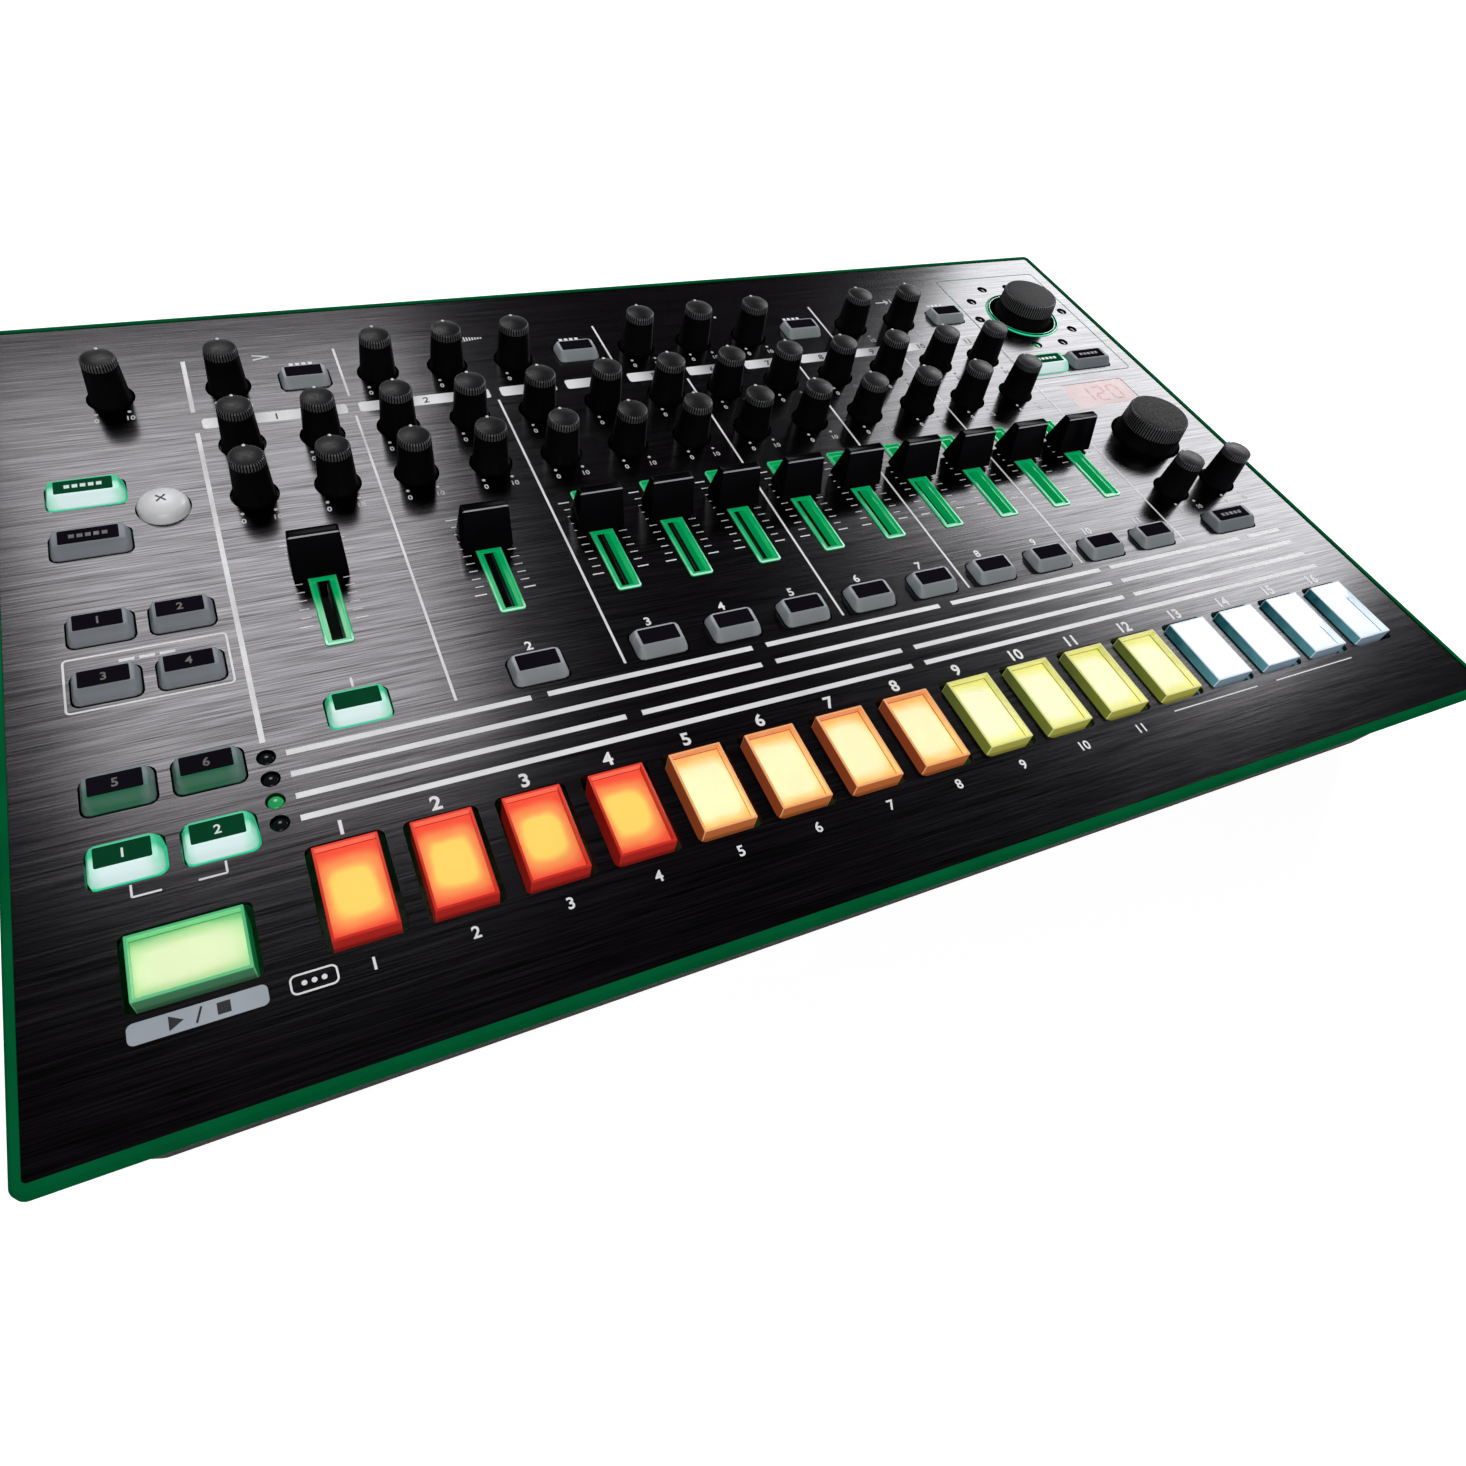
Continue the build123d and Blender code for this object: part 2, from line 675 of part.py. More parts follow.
# Rear sockets: audio jacks, five-pole sockets, data socket and power inlet on the socket board,
# and the body of the power switch.
with BuildPart() as rear_sockets:
    inside = rear.offset(-case_wall)
    with BuildSketch(inside):
        with Locations(*[behind(x, jack_height) for x in jack_xs]):
            Rectangle(jack_size, jack_size)
    extrude(amount=-jack_body_length)
    with BuildSketch(inside):
        with Locations(*[behind(x, jack_height) for x in jack_xs]):
            Circle(bushing_radius)
    extrude(amount=case_wall + jack_nose)
    with BuildSketch(rear.offset(jack_nose)):
        with Locations(*[behind(x, jack_height) for x in jack_xs]):
            Circle(jack_bore_radius)
    extrude(amount=-jack_bore_length, mode=Mode.SUBTRACT)
    with BuildSketch(inside):
        with Locations(*[behind(x, jack_height) for x in din_xs]):
            Rectangle(din_size, jack_size)
    extrude(amount=-din_body_length)
    with BuildSketch(inside):
        with Locations(*[behind(x, jack_height) for x in din_xs]):
            Circle(din_radius)
    extrude(amount=case_wall)
    with BuildSketch(rear):
        with Locations(*[behind(x, jack_height) for x in din_xs]):
            Circle(din_groove_outer)
            Circle(din_groove_inner, mode=Mode.SUBTRACT)
            with PolarLocations(din_pin_circle, din_pin_count, angular_range=180, endpoint=True):
                Circle(din_pin_radius)
    extrude(amount=-din_groove_depth, mode=Mode.SUBTRACT)
    with BuildSketch(rear):
        with Locations(behind(data_x, jack_height)):
            Rectangle(data_width, data_height)
    extrude(amount=-data_length)
    with BuildSketch(rear):
        with Locations(behind(data_x, jack_height)):
            Rectangle(data_width - 2 * data_wall, data_height - 2 * data_wall)
            Rectangle(data_tongue_width, data_tongue_height, mode=Mode.SUBTRACT)
    extrude(amount=-data_depth, mode=Mode.SUBTRACT)
    with BuildSketch(inside):
        with Locations(behind(inlet_x, jack_height)):
            Rectangle(inlet_size, inlet_size)
    extrude(amount=-inlet_length)
    with BuildSketch(inside):
        with Locations(behind(inlet_x, jack_height)):
            Circle(inlet_radius)
    extrude(amount=case_wall)
    with BuildSketch(rear):
        with Locations(behind(inlet_x, jack_height)):
            Circle(inlet_bore_radius)
            Circle(inlet_pin_radius, mode=Mode.SUBTRACT)
    extrude(amount=-inlet_depth, mode=Mode.SUBTRACT)
    with BuildSketch(inside):
        with Locations(behind(switch_x - switch_travel / 2, jack_height)):
            Rectangle(switch_body_width, switch_body_height)
            Rectangle(
                switch_lever_width + switch_travel + 2 * switch_gap,
                switch_lever_height + 2 * switch_gap,
                mode=Mode.SUBTRACT,
            )
    extrude(amount=-switch_body_length)
save(rear_sockets, "rear_sockets")


# Power switch: a lever that slides in its slot in the back wall.
with BuildPart() as power_switch:
    with BuildSketch(rear.offset(switch_lever_rise)):
        with Locations(behind(switch_x, jack_height)):
            RectangleRounded(switch_lever_width, switch_lever_height, switch_gap)
    extrude(amount=-(switch_lever_rise + case_wall + switch_body_length - switch_gap))
save(power_switch, "power_switch")


def small_knob(x, s):
    """A tapered knob with a pointer notch at the top of its dial, on its spindle."""
    with BuildPart() as knob:
        with BuildSketch(upright_at(x, s)):
            with BuildLine():
                Polyline(
                    (0, knob_height),
                    (0, -spindle_reach),
                    (spindle_radius, -spindle_reach),
                    (spindle_radius, -knob_sink),
                    (knob_foot_radius, -knob_sink),
                    (knob_foot_radius, 0),
                    (knob_top_radius, knob_height - knob_dome - knob_edge),
                    (knob_top_radius - knob_edge, knob_height - knob_dome),
                )
                TangentArc((0, knob_height), (knob_top_radius - knob_edge, knob_height - knob_dome), tangent=(1, 0))
            make_face()
        revolve(axis=Axis(at_control(x, s).origin, panel.z_dir))
        with BuildSketch(at_control(x, s, knob_height - knob_dome - pointer_depth)):
            with Locations((0, knob_top_radius - pointer_length / 2)):
                Rectangle(pointer_width, pointer_length)
        extrude(amount=knob_dome + pointer_depth, mode=Mode.SUBTRACT)
    return knob


for name, place in knob_places.items():
    save(small_knob(*place), name)


def dial(place, radius, height):
    """A large knob that widens to its foot, with ribs under its top edge, on its spindle."""
    with BuildPart() as knob:
        with BuildSketch(upright_at(*place)):
            with BuildLine():
                Polyline(
                    (0, height),
                    (0, -spindle_reach),
                    (spindle_radius, -spindle_reach),
                    (spindle_radius, -knob_sink),
                    (radius + dial_flare, -knob_sink),
                    (radius + dial_flare, 0),
                    (radius, height - dial_dome - dial_edge),
                    (radius - dial_edge, height - dial_dome),
                )
                TangentArc((0, height), (radius - dial_edge, height - dial_dome), tangent=(1, 0))
            make_face()
        revolve(axis=Axis(at_control(*place).origin, panel.z_dir))
        rib_foot = height - dial_dome - dial_edge - dial_rib_gap - dial_rib_length
        with BuildSketch(at_control(*place, rib_foot)):
            with PolarLocations(radius + dial_rib_radius, dial_rib_count):
                Circle(dial_rib_radius * 1.5)
        extrude(amount=dial_rib_length, mode=Mode.SUBTRACT)
    return knob


save(dial(value_dial_place, value_dial_radius, value_dial_height), "value_dial")
save(dial(tempo_dial_place, tempo_dial_radius, tempo_dial_height), "tempo_dial")


# Fader caps: thin crests that widen to their foot, each on a flat lever.
with BuildPart() as fader_caps:
    with BuildSketch(panel.offset(-lever_reach)):
        with Locations(*fader_rests):
            Rectangle(lever_width, lever_length)
    extrude(amount=lever_reach + fader_foot_height + fader_height / 3)
    for x, s in fader_rests:
        with BuildSketch(at_control(x, s, fader_foot_height)):
            Rectangle(fader_foot_width, fader_foot_length)
        with BuildSketch(at_control(x, s, fader_height)):
            Rectangle(fader_top_width, fader_top_length)
        loft(ruled=True)
    crests = fader_caps.faces().group_by(panel_axis)[-1]
    fillet(crests.edges(), fader_edge)
save(fader_caps, "fader_caps")


def add_lit_caps(places, width, length):
    """Clear caps, hollow from below, each with a flange under the plate and a diffuser inside."""
    cap_foot = panel.offset(-cap_skirt)
    with BuildSketch(cap_foot) as outline:
        with Locations(*places):
            RectangleRounded(width, length, cap_corner_radius)
    caps = extrude(outline.sketch, amount=cap_skirt + cap_rise)
    chamfer(caps.faces().group_by(panel_axis)[-1].edges(), cap_edge)
    with BuildSketch(panel.offset(-plate_thickness - flange_drop - flange_thickness)) as flange:
        with Locations(*places):
            Rectangle(width + 2 * (cap_gap + flange_reach), length + 2 * (cap_gap + flange_reach))
    extrude(flange.sketch, amount=flange_thickness)
    with BuildSketch(cap_foot) as hollow:
        with Locations(*places):
            Rectangle(width - 2 * cap_wall, length - 2 * cap_wall)
    extrude(hollow.sketch, amount=cap_skirt + cap_rise - cap_wall, mode=Mode.SUBTRACT)
    with BuildSketch(cap_foot) as diffuser:
        with Locations(*places):
            Rectangle(width - 2 * cap_wall - 2 * diffuser_gap, length - 2 * cap_wall - 2 * diffuser_gap)
    extrude(diffuser.sketch, amount=cap_skirt + cap_rise - cap_wall - diffuser_gap)


# Step pads, in four banks of four.
for bank in range(pad_bank_count):
    first = bank * pad_bank_size
    with BuildPart() as pads:
        add_lit_caps(pad_places[first : first + pad_bank_size], pad_width, pad_length)
    save(pads, f"pads_{first + 1}_to_{first + pad_bank_size}")

with BuildPart() as start_stop_button:
    add_lit_caps([start_place], start_width, start_length)
save(start_stop_button, "start_stop_button")


def add_buttons(places, width):
    """Buttons with a level top at the back and a rounded slope to the front edge."""
    with BuildSketch(panel.offset(-cap_skirt)) as skirt:
        with Locations(*places):
            RectangleRounded(width, button_length, button_corner_radius)
    extrude(skirt.sketch, amount=cap_skirt)
    with BuildSketch(panel) as shoulder:
        with Locations(*places):
            RectangleRounded(width, button_length, button_corner_radius)
    extrude(shoulder.sketch, amount=button_rise, taper=button_taper)
    for x, s in places:
        with BuildSketch(sideways_at(x, s)) as slope:
            with BuildLine():
                ThreePointArc(
                    (-button_length / 2, button_lip),
                    (-button_length / 2 + button_brow, button_rise - button_brow),
                    (-button_brow, button_rise),
                )
                Polyline(
                    (-button_brow, button_rise),
                    (-button_length / 2 - button_brow, button_rise + button_brow),
                    (-button_length / 2 - button_brow, button_lip),
                    (-button_length / 2, button_lip),
                )
            make_face()
        extrude(slope.sketch, amount=width / 2 + button_brow, both=True, mode=Mode.SUBTRACT)
    with BuildSketch(panel.offset(-plate_thickness - flange_drop - flange_thickness)) as flange:
        with Locations(*places):
            Rectangle(width + 2 * flange_reach, button_length + 2 * flange_reach)
    extrude(flange.sketch, amount=flange_thickness)


# Function buttons: the left columns, the round button, the two by the value dial, and the tap button.
with BuildPart() as function_buttons:
    add_buttons(left_buttons, button_width)
    add_buttons(wide_buttons, wide_button_width)
    with BuildSketch(upright_at(*round_button_place)):
        with BuildLine():
            Polyline(
                (0, round_button_rise),
                (0, -cap_skirt),
                (round_button_radius, -cap_skirt),
                (round_button_radius, round_button_edge),
            )
            TangentArc((0, round_button_rise), (round_button_radius, round_button_edge), tangent=(1, 0))
        make_face()
    revolve(axis=Axis(at_control(*round_button_place).origin, panel.z_dir))
    with BuildSketch(panel.offset(-plate_thickness - flange_drop - flange_thickness)):
        with Locations(round_button_place):
            Circle(round_button_radius + flange_reach)
    extrude(amount=flange_thickness)
save(function_buttons, "function_buttons")

with BuildPart() as voice_buttons:
    add_buttons(select_buttons, button_width)
save(voice_buttons, "voice_buttons")

with BuildPart() as step_assign_buttons:
    add_buttons(step_buttons, button_width)
save(step_assign_buttons, "step_assign_buttons")
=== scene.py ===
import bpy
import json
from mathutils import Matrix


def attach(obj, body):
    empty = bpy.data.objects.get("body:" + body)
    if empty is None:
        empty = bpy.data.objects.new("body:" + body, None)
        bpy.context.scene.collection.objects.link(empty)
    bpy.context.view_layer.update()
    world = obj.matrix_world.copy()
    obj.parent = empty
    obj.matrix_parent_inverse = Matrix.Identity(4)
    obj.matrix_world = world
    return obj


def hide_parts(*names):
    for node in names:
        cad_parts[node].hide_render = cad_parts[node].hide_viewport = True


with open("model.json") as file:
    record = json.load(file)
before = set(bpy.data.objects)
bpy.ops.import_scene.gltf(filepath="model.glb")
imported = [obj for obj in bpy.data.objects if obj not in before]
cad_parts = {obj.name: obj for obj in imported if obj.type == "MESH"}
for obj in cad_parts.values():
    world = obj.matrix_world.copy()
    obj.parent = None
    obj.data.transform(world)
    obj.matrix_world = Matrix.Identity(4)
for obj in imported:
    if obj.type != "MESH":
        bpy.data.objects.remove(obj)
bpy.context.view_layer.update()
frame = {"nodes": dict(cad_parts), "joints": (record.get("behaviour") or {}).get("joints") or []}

import json
import math

import bmesh
import bpy
from mathutils import Matrix, Vector

# Camera: low over the front left corner, looking across the panel, with a wide lens. Sizes are in
# metres, and are mostly written in millimetres.
mm = 0.001
camera_place = Vector((-138.05, -207.67, 232.28)) * mm
camera_right = Vector((0.90649246, -0.39879001, 0.1387009))
camera_up = Vector((0.21853807, 0.72422912, 0.65401312))
camera_back = camera_right.cross(camera_up)
camera_data = bpy.data.cameras.new("camera")
camera_data.lens = 24.385
camera_data.sensor_width = 36
camera_data.shift_x = 0.0267
camera_data.shift_y = -0.0219
camera_data.clip_start = 0.01
camera = bpy.data.objects.new("camera", camera_data)
turned = Matrix((camera_right, camera_up, camera_back)).transposed().to_4x4()
camera.matrix_world = Matrix.Translation(camera_place) @ turned
bpy.context.scene.collection.objects.link(camera)
bpy.context.scene.camera = camera
bpy.context.scene.view_settings.view_transform = "Standard"


# Studio: a white floor that keeps a soft shadow, a dim room, and soft boxes behind and beside the
# object, which put a sheen on the brushed plate and soft shadows in front of the controls.
def feed(tree, target, value):
    """Gives a node's input its value: a number, a colour, or the output of another node."""
    if isinstance(value, bpy.types.NodeSocket):
        tree.links.new(value, target)
    else:
        target.default_value = (*value, 1) if target.type == "RGBA" else value


def add_node(tree, kind, inputs=None, **settings):
    """A node of a tree with its settings and the values of its inputs, by place or name."""
    node = tree.nodes.new(kind)
    for name, value in settings.items():
        setattr(node, name, value)
    for name, value in (inputs or {}).items():
        feed(tree, node.inputs[name], value)
    return node


def calculate(tree, operation, first, second=0, clamp=False):
    """One sum of a tree, from numbers or other nodes' outputs."""
    node = add_node(tree, "ShaderNodeMath", {0: first, 1: second}, operation=operation, use_clamp=clamp)
    return node.outputs[0]


def backdrop_material(name, strength):
    """White to the eye and in reflections, plain white to the light, and see-through from below."""
    material = bpy.data.materials.new(name)
    material.use_nodes = True
    tree = material.node_tree
    tree.nodes.clear()
    paper = add_node(tree, "ShaderNodeBsdfDiffuse", {"Color": (0.8, 0.8, 0.8)})
    glow = add_node(tree, "ShaderNodeEmission", {"Strength": strength})
    none = add_node(tree, "ShaderNodeEmission", {"Strength": 0})
    path = add_node(tree, "ShaderNodeLightPath").outputs
    seen = calculate(tree, "ADD", path["Is Camera Ray"], path["Is Glossy Ray"], clamp=True)
    either = calculate(tree, "ADD", seen, path["Is Transmission Ray"], clamp=True)
    lit = add_node(tree, "ShaderNodeMixShader", {0: either, 1: none.outputs[0], 2: glow.outputs[0]})
    both = add_node(tree, "ShaderNodeAddShader", {0: paper.outputs[0], 1: lit.outputs[0]})
    clear = add_node(tree, "ShaderNodeBsdfTransparent")
    below = add_node(tree, "ShaderNodeNewGeometry").outputs["Backfacing"]
    shown = add_node(tree, "ShaderNodeMixShader", {0: below, 1: both.outputs[0], 2: clear.outputs[0]})
    add_node(tree, "ShaderNodeOutputMaterial", {"Surface": shown.outputs[0]})
    return material


def extrude(height):
    """Draws what is selected up by a height, or down where it is negative."""
    bpy.ops.mesh.extrude_region_move(TRANSFORM_OT_translate={"value": (0, 0, height)})


floor_radius = 9.0
backdrop_height = 2.5
bpy.ops.object.select_all(action="DESELECT")
bpy.ops.mesh.primitive_circle_add(vertices=96, radius=floor_radius, fill_type="NGON")
floor = bpy.context.object
floor.name = "floor"
floor.data.materials.append(backdrop_material("floor paper", 0.72))
bpy.ops.mesh.primitive_circle_add(vertices=96, radius=floor_radius, fill_type="NOTHING")
backdrop = bpy.context.object
backdrop.name = "backdrop"
bpy.ops.object.mode_set(mode="EDIT")
bpy.ops.mesh.select_all(action="SELECT")
extrude(backdrop_height)
bpy.ops.mesh.select_all(action="SELECT")
bpy.ops.mesh.normals_make_consistent(inside=True)
bpy.ops.object.mode_set(mode="OBJECT")
backdrop.data.materials.append(backdrop_material("backdrop paper", 1.0))

world = bpy.data.worlds.new("room")
world.use_nodes = True
world.node_tree.nodes["Background"].inputs["Color"].default_value = (1, 0.75, 1, 1)
world.node_tree.nodes["Background"].inputs["Strength"].default_value = 0.03
bpy.context.scene.world = world


def soft_box(name, place, aim, width, height, power, color=(1, 1, 1)):
    """A soft box at a place, facing a point; places in metres, power in watts."""
    lamp = bpy.data.lights.new(name, "AREA")
    lamp.shape = "RECTANGLE"
    lamp.size, lamp.size_y = width, height
    lamp.energy = power
    lamp.color = color
    box = bpy.data.objects.new(name, lamp)
    box.location = place
    box.rotation_euler = (Vector(aim) - Vector(place)).to_track_quat("-Z", "Y").to_euler()
    bpy.context.scene.collection.objects.link(box)


soft_box("back box", (-0.165, 1.69, 1.9), (-0.14, 0.02, 0.05), 0.98, 1.05, 21.5, (0.98, 0.98, 1))
soft_box("right box", (1.79, 1.04, 1.15), (0.15, 0, 0.05), 1.16, 0.72, 22, (0.97, 0.98, 1))
soft_box("front fill", (-0.3, -1.6, 1.5), (0, 0, 0.05), 1.2, 0.8, 22)


# Top plate: a 1.5 mm aluminium sheet, brushed from side to side, anodised nearly black, and punched
# for every control. It slopes up from the player.

# The panel's own frame: x to the right of its middle, y up its slope from the front edge, and z out
# of the plate's top face. Every control stands square on it, so the pieces are made there, flat,
# and are laid on the slope when they are done.
panel_front_edge = Vector((0, -129.99, 39.5)) * mm
panel_tilt = math.radians(3)
panel = Matrix.Translation(panel_front_edge) @ Matrix.Rotation(panel_tilt, 4, "X")
off_panel = panel.inverted()


def group_of(name, inputs, outputs):
    """A node group with these inputs, each with its value, and these outputs, and its inner ends."""
    group = bpy.data.node_groups.new(name, "ShaderNodeTree")
    for socket, value in inputs.items():
        kind = "NodeSocketColor" if isinstance(value, tuple) else "NodeSocketFloat"
        made = group.interface.new_socket(socket, in_out="INPUT", socket_type=kind)
        made.default_value = (*value, 1) if isinstance(value, tuple) else value
    for socket in outputs:
        kind = "NodeSocketColor" if socket == "Color" else "NodeSocketFloat"
        group.interface.new_socket(socket, in_out="OUTPUT", socket_type=kind)
    return group, group.nodes.new("NodeGroupInput").outputs, group.nodes.new("NodeGroupOutput").inputs


def remap(tree, value, low, high, from_low=0.0, from_high=1.0, **settings):
    """Maps a value between two ends; an end may be a number or another node's output."""
    ends = {"Value": value, "From Min": from_low, "From Max": from_high, "To Min": low, "To Max": high}
    return add_node(tree, "ShaderNodeMapRange", ends, **settings).outputs["Result"]


def vary(tree, given, made, lightness, depth, grit):
    """Varies a group's colour and its roughness; lightness and grit run from -1 to 1."""
    lift = calculate(tree, "ADD", calculate(tree, "MULTIPLY", lightness, depth), 1)
    shade = add_node(tree, "ShaderNodeVectorMath", {0: given["Color"], "Scale": lift}, operation="SCALE")
    change = calculate(tree, "MULTIPLY", grit, given["Spread"])
    feed(tree, made["Color"], shade.outputs[0])
    feed(tree, made["Roughness"], calculate(tree, "ADD", change, given["Roughness"]))


# Brushed grain: long fine scratches along X, in two widths, with slow bands of lighter metal.
brushed, given, made = group_of(
    "Brushed grain", {"Color": (0.1, 0.1, 0.1), "Contrast": 0.4, "Roughness": 0.35, "Spread": 0.1},
    ["Color", "Roughness", "Height"],
)
where = add_node(brushed, "ShaderNodeTexCoord").outputs["Object"]
streaks = []
for stretch, detail in (((80, 4200, 4200), 2), ((30, 2000, 2000), 2), ((6, 400, 400), 1)):
    stretched = add_node(brushed, "ShaderNodeMapping", {"Vector": where, "Scale": stretch}).outputs[0]
    noise = add_node(brushed, "ShaderNodeTexNoise", {"Vector": stretched, "Scale": 1, "Detail": detail})
    streaks.append(noise.outputs["Fac"])
fine = calculate(brushed, "ADD", streaks[0], streaks[1])
slow = remap(brushed, streaks[2], -0.04, 0.04, 0.3, 0.7)
grain = remap(brushed, calculate(brushed, "ADD", fine, slow), -1, 1, 0.65, 1.35)
vary(brushed, given, made, grain, given["Contrast"], grain)
feed(brushed, made["Height"], fine)


def new_finish(name, group, values, bump=0.0, bump_distance=0.05 * mm, **sockets):
    """A material: plain values on its shader, and a group that varies colour, roughness and height."""
    material = bpy.data.materials.new(name)
    material.use_nodes = True
    tree = material.node_tree
    shader = tree.nodes["Principled BSDF"]
    for socket, value in sockets.items():
        feed(tree, shader.inputs[socket.replace("_", " ").title().replace("Ior", "IOR")], value)
    surface = add_node(tree, "ShaderNodeGroup", node_tree=group)
    for socket, value in values.items():
        feed(tree, surface.inputs[socket], value)
    for socket, target in (("Color", "Base Color"), ("Roughness", "Roughness")):
        if socket in surface.outputs:
            feed(tree, shader.inputs[target], surface.outputs[socket])
    if bump:
        relief = add_node(tree, "ShaderNodeBump", {"Strength": bump, "Distance": bump_distance})
        feed(tree, relief.inputs["Height"], surface.outputs["Height"])
        feed(tree, shader.inputs["Normal"], relief.outputs["Normal"])
    return material


def coat(piece, *materials):
    """Gives a piece its finishes, in place of any that it has."""
    piece.data.materials.clear()
    for material in materials:
        piece.data.materials.append(material)


coat(frame["nodes"]["top_plate"], new_finish(
    "black brushed aluminium", brushed,
    {"Color": (0.053, 0.051, 0.053), "Contrast": 0.7, "Roughness": 0.19, "Spread": 0.02},
    bump=0.05, metallic=1.0,
))


# Printed marks: white and green ink screened on the plate, raised by its own thickness. Lines part
# the channels, bars carry their numbers, and plain figures stand where a player reads a scale.
ink = 0.05 * mm
cap_share = 0.729  # height of a figure in the font's own size

# Moulded surface: fine even grain with faint clouds of lighter and darker colour.
moulded, given, made = group_of(
    "Moulded surface", {"Color": (0.1, 0.1, 0.1), "Scale": 600, "Mottle": 0.15, "Roughness": 0.4, "Spread": 0.1},
    ["Color", "Roughness", "Height"],
)
where = add_node(moulded, "ShaderNodeTexCoord").outputs["Object"]
fine = add_node(moulded, "ShaderNodeTexNoise", {"Vector": where, "Scale": given["Scale"], "Detail": 4}).outputs["Fac"]
clouds = add_node(moulded, "ShaderNodeTexNoise", {"Vector": where, "Scale": 55}).outputs["Fac"]
mottling = remap(moulded, clouds, -1, 1, 0.3, 0.7)
vary(moulded, given, made, mottling, given["Mottle"], remap(moulded, fine, -1, 1, 0.3, 0.7))
feed(moulded, made["Height"], fine)


def plastic(name, color, grain=900, mottle=0.2, roughness=0.4, spread=0.1, **more):
    """A moulded finish: its colour, how fine its grain is, and how far colour and roughness vary."""
    values = {"Color": color, "Scale": grain, "Mottle": mottle, "Roughness": roughness, "Spread": spread}
    return new_finish(name, moulded, values, **more)


def ink_finish(name, color):
    """Matt printing ink, a little uneven as screening leaves it."""
    return plastic(name, color, mottle=0.1, roughness=0.5, spread=0.12, bump=0.1)


white_ink = ink_finish("white ink", (0.9, 0.91, 0.91))
grey_ink = ink_finish("grey ink", (0.42, 0.47, 0.52))
black_ink = ink_finish("black ink", (0.012, 0.012, 0.014))
green_ink = ink_finish("green ink", (0.01, 0.2, 0.09))


def let_go():
    """Leaves edit mode and selects nothing."""
    if bpy.context.mode == "EDIT_MESH":
        bpy.ops.object.mode_set(mode="OBJECT")
    bpy.ops.object.select_all(action="DESELECT")


def hold(*pieces):
    """Selects just these pieces, the first of them as the active one."""
    let_go()
    for piece in pieces:
        piece.select_set(True)
    bpy.context.view_layer.objects.active = pieces[0]


def open_mesh(name, *materials):
    """A new empty piece with its finishes, open in edit mode for shapes to be added to it."""
    piece = bpy.data.objects.new(name, bpy.data.meshes.new(name))
    bpy.context.scene.collection.objects.link(piece)
    coat(piece, *materials)
    hold(piece)
    bpy.ops.object.mode_set(mode="EDIT")
    bpy.ops.mesh.select_mode(type="VERT")
    return piece


def lay_on_panel(piece, x=0.0, s=0.0):
    """Puts a piece made at the origin on its place on the panel, with that place in its mesh."""
    hold(piece)
    piece.matrix_world = panel @ Matrix.Translation((x, s, 0)) @ piece.matrix_world
    bpy.ops.object.transform_apply(location=True, rotation=True, scale=True)


def finish_piece(piece, body, slot, *nodes):
    """Rides a piece on its CAD body, and hides the CAD nodes that it stands for."""
    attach(piece, body)
    if nodes:
        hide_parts(*nodes)


def lay_print(piece, body, slot, finish):
    """Lays a piece of print on the panel, in its ink and on the body that carries it."""
    lay_on_panel(piece)
    coat(piece, finish)
    finish_piece(piece, body, slot)


def ink_bar(x, s, width, length, turn=0.0, base=0.0):
    """A bar of ink, width along x before it is turned."""
    bpy.ops.mesh.primitive_cube_add(
        size=1, location=(x, s, base + ink / 2), rotation=(0, 0, turn), scale=(width, length, ink)
    )


def ink_dot(x, s, radius):
    """A round dot of ink."""
    bpy.ops.mesh.primitive_cylinder_add(vertices=20, radius=radius, depth=ink, location=(x, s, ink / 2))


def pick(kind, test):
    """In edit mode, selects just the edges or the faces whose middle passes the test."""
    bpy.ops.mesh.select_mode(type=kind)
    bpy.ops.mesh.select_all(action="DESELECT")
    bpy.ops.object.mode_set(mode="OBJECT")
    mesh = bpy.context.object.data
    if kind == "EDGE":
        for edge in mesh.edges:
            ends = [mesh.vertices[i].co for i in edge.vertices]
            edge.select = test((ends[0] + ends[1]) / 2)
    else:
        for face in mesh.polygons:
            face.select = test(face.center)
    bpy.ops.object.mode_set(mode="EDIT")


def ink_tag(x, s, width, length, corner, line=0.0):
    """A rounded bar of ink, or with a line width only its outline."""
    bpy.ops.mesh.select_all(action="DESELECT")
    bpy.ops.mesh.primitive_plane_add(size=1, location=(x, s, 0))
    bpy.ops.transform.resize(value=(width, length, 1), center_override=(x, s, 0))
    bpy.ops.mesh.bevel(offset=corner, segments=5, affect="VERTICES")
    if line:
        bpy.ops.mesh.inset(thickness=line)
        bpy.ops.mesh.delete(type="ONLY_FACE")
        pick("FACE", lambda at: abs(at.x - x) < width and abs(at.y - s) < length and abs(at.z) < ink / 4)
    extrude(ink)
    bpy.ops.mesh.select_mode(type="VERT")


def ink_figures(words, x, s, height, weight=0.0, base=0.0):
    """Figures in ink, centred on their place; returns the piece."""
    let_go()
    bpy.ops.object.text_add(location=(x, s - height / 2, base + ink / 2))
    text = bpy.context.object
    text.data.body = words
    text.data.align_x = "CENTER"
    text.data.size = height / cap_share
    text.data.resolution_u = 3
    text.data.extrude = ink / 2
    text.data.offset = weight
    bpy.ops.object.convert(target="MESH")
    bpy.ops.object.transform_apply(location=True, rotation=True, scale=True)
    return text


def join(piece, others):
    """Joins the others into the piece."""
    hold(piece, *others)
    bpy.ops.object.join()


